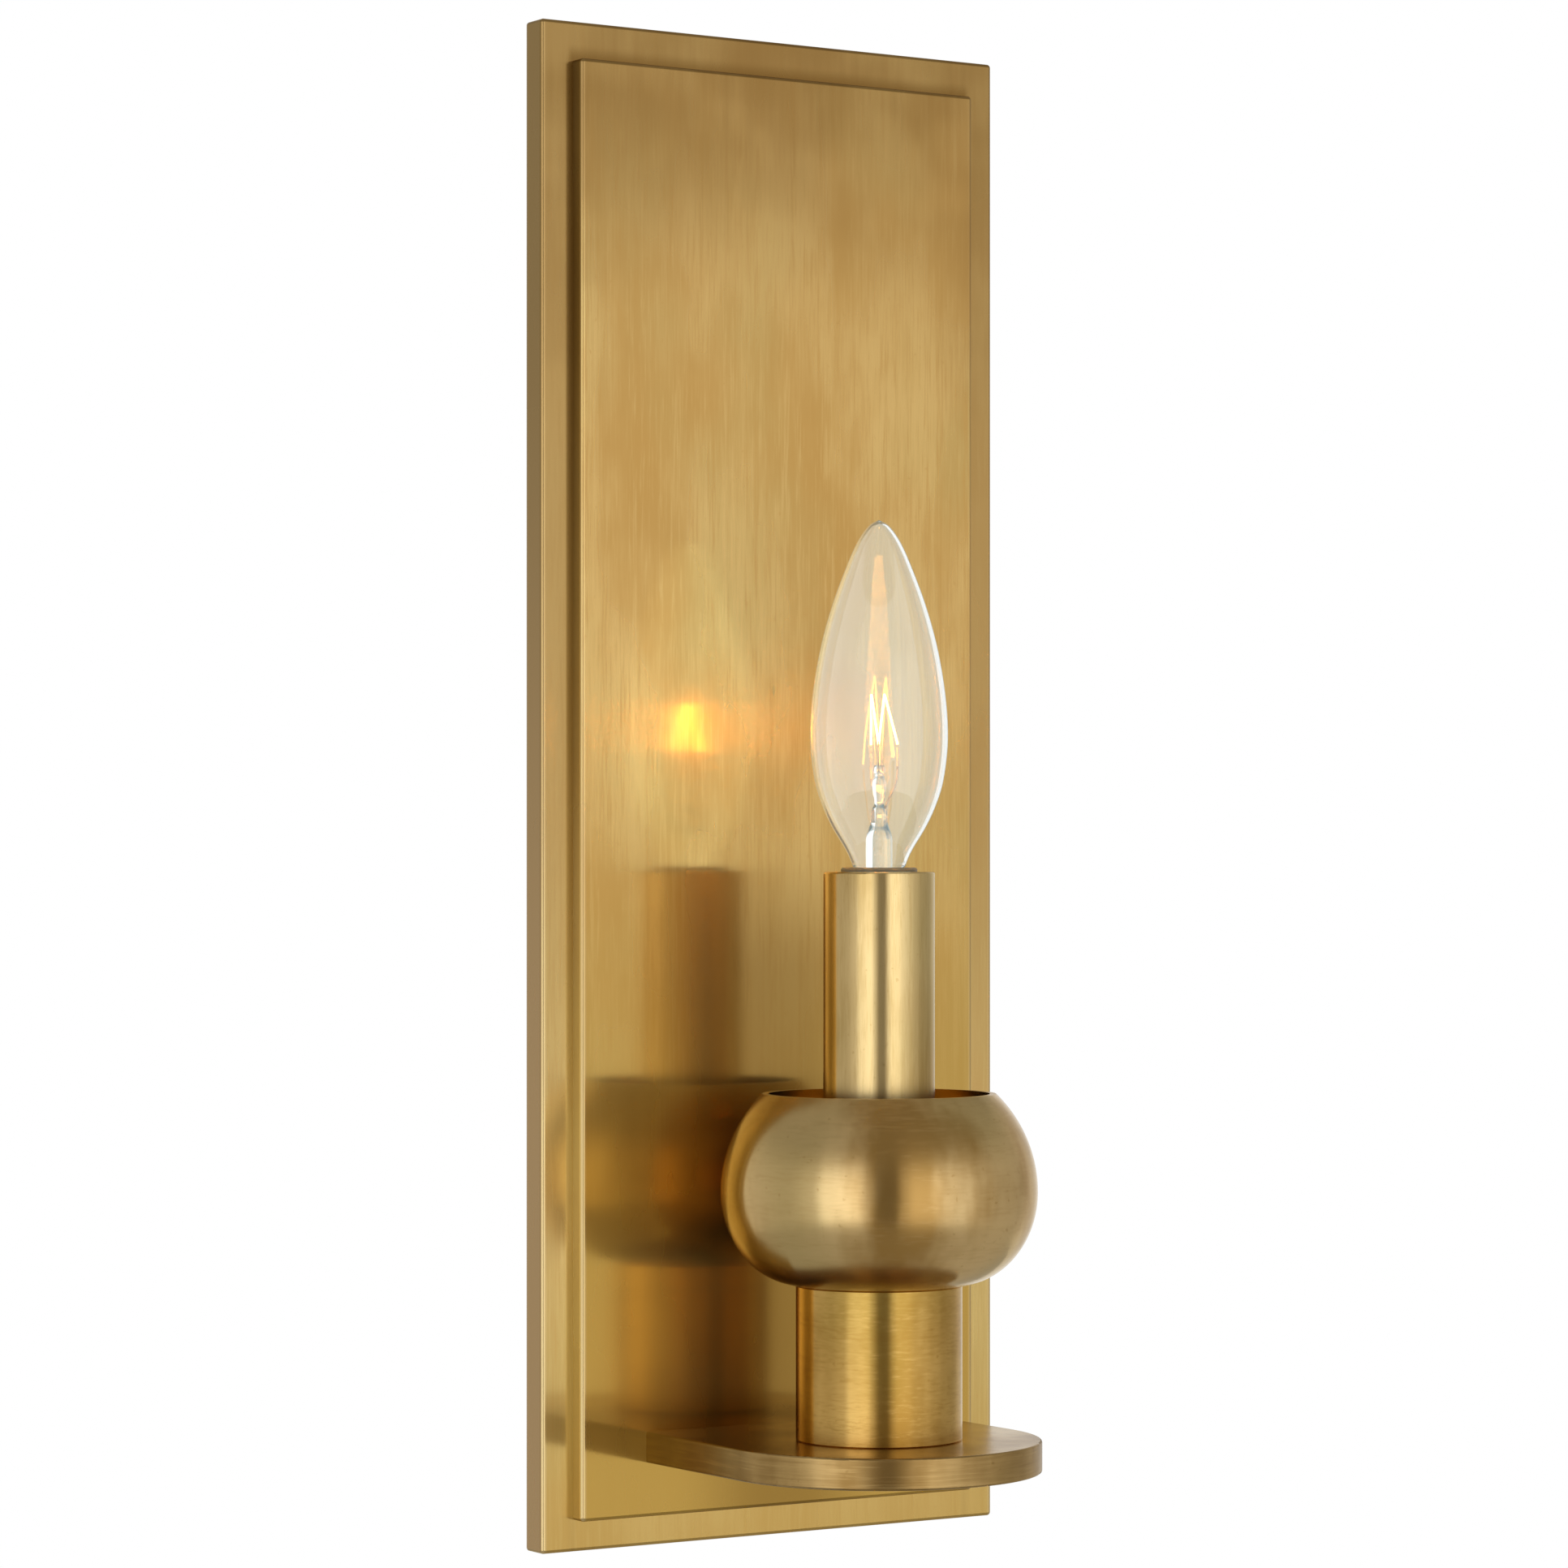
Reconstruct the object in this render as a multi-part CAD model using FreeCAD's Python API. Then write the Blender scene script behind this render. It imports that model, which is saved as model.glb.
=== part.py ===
"""Candle-type wall sconce: a stepped brass back plate, a thick U-shaped shelf, a collar, an open globe cup
and a candle sleeve that hides a small screw lamp holder, with a clear torpedo lamp in it.

Units are millimetres. +Z is up, the wall is the plane Y = 0, and the sconce stands out along -Y. The origin
is the centre of the wall fixing, which is the middle of the back plate. One STEP file is written for each
separate piece.
"""

import FreeCAD, Part
import math
import os

V = FreeCAD.Vector
X_AXIS, Z_AXIS = V(1, 0, 0), V(0, 0, 1)
ORIGIN = V(0, 0, 0)
PAST = 1.0  # how far a cutting shape runs past the face that it opens
NEAR = 0.01  # an edge this close to a plane counts as lying in it

# ---- driving dimensions ----------------------------------------------------------------------------------
SHEET = 1.5  # brass and steel sheet thickness
FIT = 0.05  # radial play of a pin, screw or spigot in its hole
LOOSE = 0.15  # radial play of a screw or wire in a hole that it only passes through

PLATE_W, PLATE_H, PLATE_D = 127.0, 355.6, 7.0  # outer back plate
MARGIN_SIDE, MARGIN_TOP, MARGIN_BOTTOM = 8.4, 9.0, 7.3  # outer plate showing round the raised panel
PANEL_D = 3.9  # height of the raised panel above the outer plate
TRAY_EDGE_R = 0.9  # rounding of the front edges and outer corners of both

AXIS_OUT = 52.4  # candle axis from the wall
SLEEVE_TOP = -19.8
SLEEVE_R, SLEEVE_WALL, SLEEVE_EDGE_R = 12.9, 1.0, 0.5
CUP_RIM, CUP_EQUATOR = -70.9, -93.5  # heights of the cup's mouth and of its widest circle
CUP_R, CUP_WALL = 36.6, 1.0
CUP_UPPER_R = 31.4  # radius of the arc from the widest circle up to the mouth
CUP_LOWER_REACH, CUP_LOWER_DROP = 18.5, 21.4  # half axes of the ellipse from there down to the flat bottom
COLLAR_R, COLLAR_WALL, COLLAR_BEVEL = 19.2, 1.5, 0.3
SHELF_TOP, SHELF_T, SHELF_R = -150.6, 7.25, 37.6
SHELF_EDGE_R = 0.5

NIPPLE_R, NIPPLE_BORE_R = 4.85, 3.45
NIPPLE_HOLE_R = NIPPLE_R + 0.1
NUT_AF = 14.0  # across the flats of the nuts on the nipple
WIRE_R = 1.0
SHARP_HALF_TURN = math.radians(30)  # a wire that turns by more than twice this is bent to a stated radius

# ---- places worked out from them -------------------------------------------------------------------------
TOP, BOTTOM = PLATE_H / 2, -PLATE_H / 2
PANEL_TOP, PANEL_BOTTOM = TOP - MARGIN_TOP, BOTTOM + MARGIN_BOTTOM
PANEL_W = PLATE_W - 2 * MARGIN_SIDE
PANEL_FRONT = -(PLATE_D + PANEL_D)
PANEL_INSIDE = PANEL_FRONT + SHEET
PLATE_INSIDE = -PLATE_D + SHEET
SHELF_BOTTOM = SHELF_TOP - SHELF_T
SHELF_MID = (SHELF_TOP + SHELF_BOTTOM) / 2
CUP_BOTTOM = CUP_EQUATOR - CUP_LOWER_DROP

# ---- wall fixing -----------------------------------------------------------------------------------------
WINDOW_X = 42.0  # half width of the window in the outer plate, behind the raised panel
WINDOW_BOTTOM, WINDOW_TOP = PANEL_BOTTOM + 6.2, PANEL_TOP - 12.0
BRACKET_X = 25.0  # half width of the steel strap
BRACKET_GAP = 0.5  # between its end tabs and the plate's walls
TAB_X, TAB_OUT = 12.0, 4.4  # half width of an end tab, and how far it stands out from the wall
LOCK_R, LOCK_HEAD_R, LOCK_LENGTH, LOCK_Y = 1.25, 2.3, 6.0, -3.0
BOX_SLOT_Z, BOX_SLOT_LENGTH, BOX_SLOT_R = 39.7, 14.5, 2.5
BUSHING_HOLE_R, BUSHING_R, BUSHING_BORE_R, BUSHING_FLANGE_T = 11.1, 13.0, 8.5, 1.2

STUD_R, STUD_X, STUD_ZS, STUD_END = 1.5, 48.5, (-150.0, 0.0, 150.0), -1.5  # studs that hold the raised panel
STUD_NUT_AF, STUD_NUT_T = 5.5, 2.4

# ---- terminal block and earthing -------------------------------------------------------------------------
BLOCK_X, BLOCK_Z, BLOCK_TOP_Z = 13.0, -38.0, -26.0  # half width, lower and upper ends
BLOCK_MID_Z = (BLOCK_Z + BLOCK_TOP_Z) / 2
BLOCK_FRONT = PANEL_INSIDE + 0.3
BLOCK_BEVEL = 0.5
POLE_PITCH = 8.0
POLES = (-POLE_PITCH, 0, POLE_PITCH)
POLE_DEPTH = 4.0  # how far a wire goes into the block
POLE_SCREW_R, POLE_SCREW_IN, POLE_SCREW_TOP, POLE_SCREW_FOOT = 1.3, 2.6, 0.5, 1.9
BLOCK_SCREW_R, BLOCK_HEAD_R, BLOCK_HEAD_T, BLOCK_HEAD_SEAT = 1.2, 2.2, 1.4, 2.0
WIRE_BACK_Y = -4.5  # depth at which the wires run behind the panel
GROUND_X, GROUND_Z = 17.0, -62.0
GROUND_SCREW_R, GROUND_HEAD_R, GROUND_HEAD_T = 2.0, 4.0, 2.4
LUG_R, LUG_T, LUG_NECK_X, LUG_NECK_TOP = 4.3, 0.8, 1.6, 7.0
LUG_BARREL = (5.5, 10.0)  # lower and upper ends of its crimped barrel, above the screw
LUG_BARREL_WALL = 0.6
LUG_WIRE_END = LUG_BARREL[0] + 1.0

# ---- shelf fixing ----------------------------------------------------------------------------------------
SHELF_SCREW_X, SHELF_SCREW_R, SHELF_SCREW_DEPTH = 26.0, 2.0, 12.0
SHELF_HEAD_R, SHELF_HEAD_T = 3.8, 2.4
BACKING_X, BACKING_T, BACKING_Z = 38.0, 2.0, 7.0  # half width, thickness and half height of the stiffener
PANEL_WIRE_HOLE_R, SHELF_WIRE_HOLE_R = 3.0, 2.5

# ---- wire way --------------------------------------------------------------------------------------------
# Down the nipple, out of its side slot, down through the slot in the shelf and back along its channel.
WAY_X = 1.2  # half the distance between the two leads
WAY_OFF = 11.5  # the drop beside the nipple, from the candle axis towards the wall
WAY_Z = -128.0
WAY_SLOT = (10.0, 17.0)  # near and far ends of the slot beside the nipple
WAY_R = 2.75
WAY_FLOOR = SHELF_MID - 2.5
NIPPLE_SLOT = (WAY_Z - 3.0, WAY_Z + 6.0)
LEAD_BEND_R, GROUND_BEND_R = 4.5, 5.0

# ---- pieces stacked on the nipple ------------------------------------------------------------------------
NIPPLE_TOP, NIPPLE_FOOT = -70.0, SHELF_BOTTOM + 0.8
SINK_R, SINK_DEPTH = 9.5, 3.4  # recess under the shelf
WASHER_R, WASHER_T = 9.3, 0.7
SHELF_NUT_T = 2.4
DISC_T = 3.0
SEAT_FLANGE_R, SEAT_FLANGE_T, SEAT_SPIGOT_T = 14.8, 1.8, 3.0
SEAT_SPIGOT_R = SLEEVE_R - SLEEVE_WALL - 0.3
SEAT_TOP = CUP_BOTTOM + CUP_WALL + SEAT_FLANGE_T
CUP_NUT_T = 4.0

# ---- lamp holder -----------------------------------------------------------------------------------------
SOCKET_R, SOCKET_BEVEL = 8.8, 0.4
SOCKET_TOP = SLEEVE_TOP + 1.0
SOCKET_BOTTOM = SOCKET_TOP - 27.2
SOCKET_FLOOR = -38.0  # under the centre contact
SOCKET_WELL_R = 5.2
SHELL_R, SHELL_BORE_R = 6.85, 6.35
SHELL_RISE, SHELL_SUNK = 3.5, 1.5  # ends of the screw shell, above the floor and below the top
CONTACT_FOOT_R, CONTACT_FOOT_T, CONTACT_CONE = 4.4, 0.5, (3.0, 2.0)
LEAD_X, LEAD_OFF, LEAD_IN = 3.0, -3.5, 4.0  # where the leads enter the lamp holder, and how far
HICKEY_X, HICKEY_NEAR, HICKEY_FAR, HICKEY_T = 4.5, 7.1, 8.3, 1.2  # the strap that carries the lamp holder
HICKEY_FOOT_T, HICKEY_LAP, HICKEY_BRIDGE_T = 7.0, 4.0, 3.0
HICKEY_BRIDGE_Y, HICKEY_TAB_Y = 5.5, 1.0
HICKEY_SCREW_OFF, HICKEY_SCREW_R, HICKEY_SCREW_IN = 4.2, 1.5, 5.0
HICKEY_HEAD_R, HICKEY_HEAD_T = 2.6, 2.0

# ---- lamp ------------------------------------------------------------------------------------------------
LAMP_JOIN = -18.7  # where the glass leaves the cap
LAMP_SHAPE = [  # height above the join, radius
    (0, 6.0), (3.6, 7.6), (9, 10.8), (14, 13.1), (20, 14.9), (29, 15.9), (39, 15.4), (50, 13.6),
    (60, 10.9), (69, 7.6), (75, 4.9), (78.6, 2.3), (80, 0),
]
GLASS_T = 0.6
NECK_R, NECK_IN = 4.9, 10.2  # the neck inside the cap, and how far down it reaches
CAP_TOP, CAP_BOTTOM = -19.3, -33.5
CAP_CREST_R, CAP_ROOT_R, CAP_INSIDE_R = 5.95, 5.45, 5.1
CAP_LIP_R, CAP_LIP_T, CAP_LIP_SLOPE = 6.1, 0.6, 0.4
THREAD_PITCH, THREAD_TURNS, THREAD_START = 2.54, 5, CAP_TOP - 1.6
THREAD_GAP = 0.3  # flat between two crests
PLUG_FOOT_R, PLUG_IN = 2.4, 1.2  # glass plug that closes the cap
CONTACT_TOP, CONTACT_BOTTOM, CONTACT_R, CONTACT_FACE_R = -35.3, -36.1, 2.3, 1.6
STEM_TUBE = [  # radius, height of the flared tube, from the axis out and up
    (0, -24.0), (1.9, -24.0), (2.4, -27.5), (3.4, -28.6), (4.2, -28.6), (4.2, -27.6), (3.1, -25.5),
    (3.1, -12.5),
]
STEM_PRESS = [  # its pressed top, the bead above that and the button that holds the hooks
    (3.1, -12.5), (2.8, -10.8), (2.2, -9.2), (1.9, -7.4), (1.75, -5.6), (1.15, -4.2), (1.3, -2.6),
    (1.6, -0.4), (1.4, 1.5), (1.05, 2.7), (1.45, 3.5), (1.2, 4.5), (0, 4.9),
]
FILAMENT_ANGLES = (82, 158, 235, 281, 327)  # round the axis, of its five corners: foot, top, foot, top, foot
FILAMENT_FOOT, FILAMENT_TOP = (4.3, 9.6), (1.8, 21.0)  # radius and height of the feet and of the tops
FILAMENT_WIRE_R, FILAMENT_BEND_R = 0.3, 0.8
LEAD_IN_R, LEAD_IN_BEND_R, LEAD_IN_FOOT = 0.25, 2.0, (1.4, -8.6)
LEAD_IN_PRESS_Z, LEAD_IN_SPREAD_Z, LEAD_IN_SHORT = -4.6, 1.0, 0.7
HOOK_R, HOOK_BEND_R, HOOK_FOOT = 0.12, 1.0, (1.0, 3.4)
HOOK_REACH, HOOK_RISE, HOOK_LOW_Z, HOOK_HIGH_Z, HOOK_SHORT = 0.6, 0.6, 4.8, 6.5, 1.1


# ---- small helpers ---------------------------------------------------------------------------------------
def box(x0, x1, y0, y1, z0, z1):
    return Part.makeBox(x1 - x0, y1 - y0, z1 - z0, V(x0, y0, z0))


def rod(r, start, end):
    """A cylinder of radius r from one point to another."""
    start, end = V(*start), V(*end)
    return Part.makeCylinder(r, (end - start).Length, start, end - start)


def across(r, x, z, y0, y1):
    """A cylinder square to the wall, from depth y0 to depth y1."""
    return rod(r, (x, y0, z), (x, y1, z))


def disc(r, z0, z1):
    return Part.makeCylinder(r, z1 - z0, V(0, 0, z0))


def ring(r_out, r_in, z0, z1):
    return disc(r_out, z0, z1).cut(disc(r_in, z0 - PAST, z1 + PAST))


def edges_where(shape, wanted):
    """The edges whose middle satisfies wanted(x, y, z)."""
    return [e for e in shape.Edges if wanted(*e.CenterOfMass)]


def round_edges(shape, r):
    """The full circles of radius r among the shape's edges."""
    return [e for e in shape.Edges if e.isClosed() and abs(e.Length - 2 * math.pi * r) < NEAR]


def revolved(edges):
    """A solid of revolution about Z from a closed outline in the XZ plane."""
    return Part.Face(Part.Wire(Part.__sortEdges__(edges))).revolve(ORIGIN, Z_AXIS, 360)


def straight_edges(points, closed=True):
    """Straight edges through (radius, height) points."""
    corners = [V(r, 0, z) for r, z in points]
    ends = corners[1:] + corners[:1] if closed else corners[1:]
    return [Part.LineSegment(a, b).toShape() for a, b in zip(corners, ends)]


def smooth_edge(points, first_way, last_way):
    """One smooth edge through points, which leaves the first and meets the last in the given directions."""
    curve = Part.BSplineCurve()
    curve.interpolate(Points=points, InitialTangent=first_way, FinalTangent=last_way)
    return curve.toShape()


def hexagon(across_flats, z0, z1, bore_r):
    r = across_flats / math.sqrt(3)
    turns = [math.radians(60 * k) for k in range(7)]
    corners = [V(r * math.cos(turn), r * math.sin(turn), z0) for turn in turns]
    solid = Part.Face(Part.makePolygon(corners)).extrude(V(0, 0, z1 - z0))
    return solid.cut(disc(bore_r, z0 - PAST, z1 + PAST))


def pan_screw(r, length, head_r, head_t):
    """A slotted pan-head screw that points down Z, with the underside of its head at the origin."""
    slot_half_w, slot_depth = head_r / 8, 0.45 * head_t
    head = disc(head_r, 0, head_t)
    head = head.makeChamfer(head_t / 4, edges_where(head, lambda x, y, z: abs(z - head_t) < NEAR))
    slot = box(-head_r, head_r, -slot_half_w, slot_half_w, head_t - slot_depth, head_t + PAST)
    return disc(r, -length, 0).fuse(head).cut(slot).removeSplitter()


def countersunk_screw(r, length, head_r):
    """A slotted countersunk screw that points down Z, with the top of its head at the origin."""
    head_t = head_r - r
    head = Part.makeCone(r, head_r, head_t, V(0, 0, -head_t))
    slot = box(-head_r, head_r, -head_r / 8, head_r / 8, -head_t / 2, PAST)
    return disc(r, -length, -head_t / 2).fuse(head).cut(slot).removeSplitter()


def pointed(shape, place, way):
    """Turns a piece built to point down Z so that it points along way, and moves its origin to place."""
    turn = FreeCAD.Rotation(-Z_AXIS, V(*way))
    shape.Placement = FreeCAD.Placement(V(*place), turn)
    return shape


def on_axis(shape):
    """Moves a piece built round the Z axis to the candle axis."""
    shape.translate(V(0, -AXIS_OUT, 0))
    return shape


def filleted_path(points, radius):
    """One wire of straight runs joined by tangent arcs. Each arc is as large as its two runs allow, and a
    sharp turn is no larger than radius."""
    points = [V(*p) for p in points]
    edges, last = [], points[0]
    for before, here, after in zip(points, points[1:], points[2:]):
        back, on = (before - here).normalize(), (after - here).normalize()
        half = (math.pi - back.getAngle(on)) / 2  # half the turn
        shorter = min((before - here).Length, (after - here).Length)
        widest = 0.45 * shorter / math.tan(half)
        r = min(radius, widest) if half > SHARP_HALF_TURN else widest
        reach = r * math.tan(half)
        start, end = here + back * reach, here + on * reach
        inward = (back + on).normalize()
        middle = here + inward * (r / math.cos(half) - r)
        edges.append(Part.LineSegment(last, start).toShape())
        edges.append(Part.Arc(start, middle, end).toShape())
        last = end
    edges.append(Part.LineSegment(last, points[-1]).toShape())
    return Part.Wire(edges)


def tube_along(points, r, radius):
    """A round rod of radius r swept along a filleted path."""
    path = filleted_path(points, radius)
    start = V(*points[0])
    section = Part.Wire(Part.Circle(start, V(*points[1]) - start, r).toShape())
    return path.makePipeShell([section], True, False)


# ---- back plate, raised panel and what joins them --------------------------------------------------------
def boxed_sheet(half_w, z0, z1, front, back):
    """A sheet-metal tray that opens towards the wall, with rounded front edges and outer corners."""
    tray = box(-half_w, half_w, front, back, z0, z1)
    at_front = lambda y: abs(y - front) < NEAR
    at_corner = lambda x, z: abs(abs(x) - half_w) < NEAR and min(abs(z - z0), abs(z - z1)) < NEAR
    tray = tray.makeFillet(TRAY_EDGE_R, edges_where(tray, lambda x, y, z: at_front(y) or at_corner(x, z)))
    return tray.cut(box(-half_w + SHEET, half_w - SHEET, front + SHEET, back + PAST, z0 + SHEET, z1 - SHEET))


def face_of(tray, front):
    """The flat front sheet of a tray."""
    return tray.common(box(-PLATE_W, PLATE_W, front, front + SHEET, -PLATE_H, PLATE_H))


def edges_of(tray, half_w, front):
    """The four edge strips of a tray, soldered on behind its front sheet and butted at the corners."""
    inside, behind = half_w - SHEET, front + SHEET
    spans = [(-PLATE_W, -inside), (inside, PLATE_W)]
    sides = [tray.common(box(x0, x1, behind, 0, -PLATE_H, PLATE_H)) for x0, x1 in spans]
    ends = [tray.common(box(-inside, inside, behind, 0, *span)) for span in ((-PLATE_H, 0), (0, PLATE_H))]
    return Part.makeCompound(sides + ends)


def plate_tray():
    """The outer plate before it is split into its sheet and strips."""
    tray = boxed_sheet(PLATE_W / 2, BOTTOM, TOP, -PLATE_D, 0)
    tray = tray.cut(box(-WINDOW_X, WINDOW_X, -PLATE_D - PAST, 0, WINDOW_BOTTOM, WINDOW_TOP))
    for x, z in stud_places():
        tray = tray.cut(across(STUD_R + FIT, x, z, -PLATE_D - PAST, 0))
    for end in (1, -1):
        hole = rod(LOCK_R + FIT, (0, LOCK_Y, end * (TOP - 2 * SHEET)), (0, LOCK_Y, end * (TOP + PAST)))
        seat = Part.makeCone(LOCK_HEAD_R + PAST + FIT, LOCK_R + FIT, LOCK_HEAD_R + PAST - LOCK_R,
                             V(0, LOCK_Y, end * (TOP + PAST)), V(0, 0, -end))
        tray = tray.cut(hole).cut(seat)
    return tray


def panel_tray():
    """The raised panel before it is split into its sheet and strips."""
    tray = boxed_sheet(PANEL_W / 2, PANEL_BOTTOM, PANEL_TOP, PANEL_FRONT, -PLATE_D)
    return tray.cut(shelf_fixing_holes(PANEL_FRONT - PAST, 0))


def shelf_fixing_holes(y0, y1):
    """The two screw holes and the wire hole that lead into the back of the shelf."""
    holes = across(PANEL_WIRE_HOLE_R, 0, SHELF_MID, y0, y1)
    for x in (-SHELF_SCREW_X, SHELF_SCREW_X):
        holes = holes.fuse(across(SHELF_SCREW_R + LOOSE, x, SHELF_MID, y0, y1))
    return holes


def backing_plate():
    """Steel stiffener behind the raised panel, where the shelf is screwed on."""
    plate = box(-BACKING_X, BACKING_X, PANEL_INSIDE, PANEL_INSIDE + BACKING_T,
                SHELF_MID - BACKING_Z, SHELF_MID + BACKING_Z)
    return plate.cut(shelf_fixing_holes(PANEL_INSIDE - PAST, 0))


def shelf_screws():
    """Two pan-head screws through the stiffener and the panel into the back of the shelf."""
    under_head = PANEL_INSIDE + BACKING_T
    length = under_head - PANEL_FRONT + SHELF_SCREW_DEPTH
    places = [(x, under_head, SHELF_MID) for x in (-SHELF_SCREW_X, SHELF_SCREW_X)]
    return Part.makeCompound([
        pointed(pan_screw(SHELF_SCREW_R, length, SHELF_HEAD_R, SHELF_HEAD_T), place, (0, -1, 0))
        for place in places])


def stud_places():
    return [(x, z) for x in (-STUD_X, STUD_X) for z in STUD_ZS]


def panel_studs():
    """Threaded studs brazed inside the raised panel."""
    return Part.makeCompound([across(STUD_R, x, z, PANEL_INSIDE, STUD_END) for x, z in stud_places()])


def panel_nuts():
    """Hexagon nuts that pull the raised panel onto the outer plate."""
    nuts = []
    for x, z in stud_places():
        nut = hexagon(STUD_NUT_AF, 0, STUD_NUT_T, STUD_R + FIT)
        nut.rotate(ORIGIN, X_AXIS, -90)
        nut.translate(V(x, PLATE_INSIDE, z))
        nuts.append(nut)
    return Part.makeCompound(nuts)


# ---- wall bracket and the wiring on it -------------------------------------------------------------------
def wall_bracket():
    """Full-height steel strap that is screwed to the wall box, with a tapped tab at each end."""
    end = TOP - SHEET - BRACKET_GAP
    strap = box(-BRACKET_X, BRACKET_X, -SHEET, 0, -end, end)
    for z0, z1 in ((end - SHEET, end), (-end, -end + SHEET)):
        strap = strap.fuse(box(-TAB_X, TAB_X, -TAB_OUT, 0, z0, z1))
    for z0, z1 in ((end - 2 * SHEET, end + PAST), (-end - PAST, -end + 2 * SHEET)):
        strap = strap.cut(rod(LOCK_R + FIT, (0, LOCK_Y, z0), (0, LOCK_Y, z1)))
    strap = strap.cut(across(BUSHING_HOLE_R, 0, 0, -SHEET - PAST, PAST))
    run = BOX_SLOT_LENGTH / 2 - BOX_SLOT_R
    for z in (-BOX_SLOT_Z, BOX_SLOT_Z):
        slot = box(-BOX_SLOT_R, BOX_SLOT_R, -SHEET - PAST, PAST, z - run, z + run)
        for tip in (z - run, z + run):
            slot = slot.fuse(across(BOX_SLOT_R, 0, tip, -SHEET - PAST, PAST))
        strap = strap.cut(slot)
    for x in (-POLE_PITCH / 2, POLE_PITCH / 2):
        strap = strap.cut(across(BLOCK_SCREW_R + FIT, x, BLOCK_MID_Z, -SHEET - PAST, PAST))
    return strap.cut(across(GROUND_SCREW_R + FIT, GROUND_X, GROUND_Z, -SHEET - PAST, PAST)).removeSplitter()


def lock_screws():
    """Countersunk screws, one up through the bottom edge of the plate and one down through the top."""
    return Part.makeCompound([
        pointed(countersunk_screw(LOCK_R, LOCK_LENGTH, LOCK_HEAD_R), (0, LOCK_Y, end * TOP), (0, 0, -end))
        for end in (1, -1)])


def cable_bushing():
    """Nylon bushing in the bracket's centre hole, where the supply wires come through the wall."""
    flange = across(BUSHING_R, 0, 0, -SHEET - BUSHING_FLANGE_T, -SHEET)
    barrel = across(BUSHING_HOLE_R - FIT, 0, 0, -SHEET, 0)
    body = flange.fuse(barrel).removeSplitter()
    return body.cut(across(BUSHING_BORE_R, 0, 0, -SHEET - BUSHING_FLANGE_T - PAST, PAST))


def pole_screw_places():
    return [(pole, z) for pole in POLES for z in (BLOCK_Z + POLE_SCREW_IN, BLOCK_TOP_Z - POLE_SCREW_IN)]


def terminal_block():
    """Three-pole terminal block on the bracket: line, neutral and earth."""
    block = box(-BLOCK_X, BLOCK_X, BLOCK_FRONT, -SHEET, BLOCK_Z, BLOCK_TOP_Z)
    block = block.makeChamfer(BLOCK_BEVEL, edges_where(block, lambda x, y, z: abs(y - BLOCK_FRONT) < NEAR))
    spans = ((BLOCK_Z - PAST, BLOCK_Z + POLE_DEPTH), (BLOCK_TOP_Z - POLE_DEPTH, BLOCK_TOP_Z + PAST))
    for pole in POLES:
        for z0, z1 in spans:
            block = block.cut(rod(WIRE_R + LOOSE, (pole, WIRE_BACK_Y, z0), (pole, WIRE_BACK_Y, z1)))
    outside = BLOCK_FRONT - PAST
    for pole, z in pole_screw_places():
        block = block.cut(across(POLE_SCREW_R + FIT, pole, z, outside, BLOCK_FRONT + POLE_SCREW_FOOT))
    for x in (-POLE_PITCH / 2, POLE_PITCH / 2):
        block = block.cut(across(BLOCK_SCREW_R + FIT, x, BLOCK_MID_Z, outside, PAST))
        block = block.cut(across(BLOCK_HEAD_R + FIT, x, BLOCK_MID_Z, outside, BLOCK_FRONT + BLOCK_HEAD_SEAT))
    return block


def terminal_screws():
    """The headless clamping screws of the six terminals."""
    head, foot = BLOCK_FRONT + POLE_SCREW_TOP, BLOCK_FRONT + POLE_SCREW_FOOT
    slot_half_w, slot_depth = POLE_SCREW_R / 5, (foot - head) / 2.4
    screws = []
    for pole, z in pole_screw_places():
        slot = box(pole - POLE_SCREW_R, pole + POLE_SCREW_R, head - PAST, head + slot_depth,
                   z - slot_half_w, z + slot_half_w)
        screws.append(across(POLE_SCREW_R, pole, z, head, foot).cut(slot))
    return Part.makeCompound(screws)


def block_screws():
    """Two small screws that hold the terminal block on the bracket."""
    under_head = BLOCK_FRONT + BLOCK_HEAD_SEAT
    places = [(x, under_head, BLOCK_MID_Z) for x in (-POLE_PITCH / 2, POLE_PITCH / 2)]
    return Part.makeCompound([
        pointed(pan_screw(BLOCK_SCREW_R, -under_head, BLOCK_HEAD_R, BLOCK_HEAD_T), place, (0, 1, 0))
        for place in places])


def ground_screw():
    """Green earthing screw on the bracket, over the ring lug."""
    under_head = -SHEET - LUG_T
    screw = pan_screw(GROUND_SCREW_R, -under_head, GROUND_HEAD_R, GROUND_HEAD_T)
    return pointed(screw, (GROUND_X, under_head, GROUND_Z), (0, 1, 0))


def lug_barrel_y():
    return -SHEET - LUG_T - WIRE_R


def ground_lug():
    """Crimped ring lug on the end of the earth wire."""
    y0, y1 = -SHEET - LUG_T, -SHEET
    low, high = (GROUND_Z + h for h in LUG_BARREL)
    lug = across(LUG_R, GROUND_X, GROUND_Z, y0, y1)
    lug = lug.fuse(box(GROUND_X - LUG_NECK_X, GROUND_X + LUG_NECK_X, y0, y1,
                       GROUND_Z + LUG_R / 2, GROUND_Z + LUG_NECK_TOP))
    barrel_y = lug_barrel_y()
    lug = lug.fuse(rod(WIRE_R + LUG_BARREL_WALL, (GROUND_X, barrel_y, low), (GROUND_X, barrel_y, high)))
    bore_end = GROUND_Z + LUG_WIRE_END
    lug = lug.cut(rod(WIRE_R + FIT, (GROUND_X, barrel_y, bore_end), (GROUND_X, barrel_y, high + PAST)))
    return lug.cut(across(GROUND_SCREW_R + FIT, GROUND_X, GROUND_Z, y0 - PAST, 0)).removeSplitter()


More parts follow.
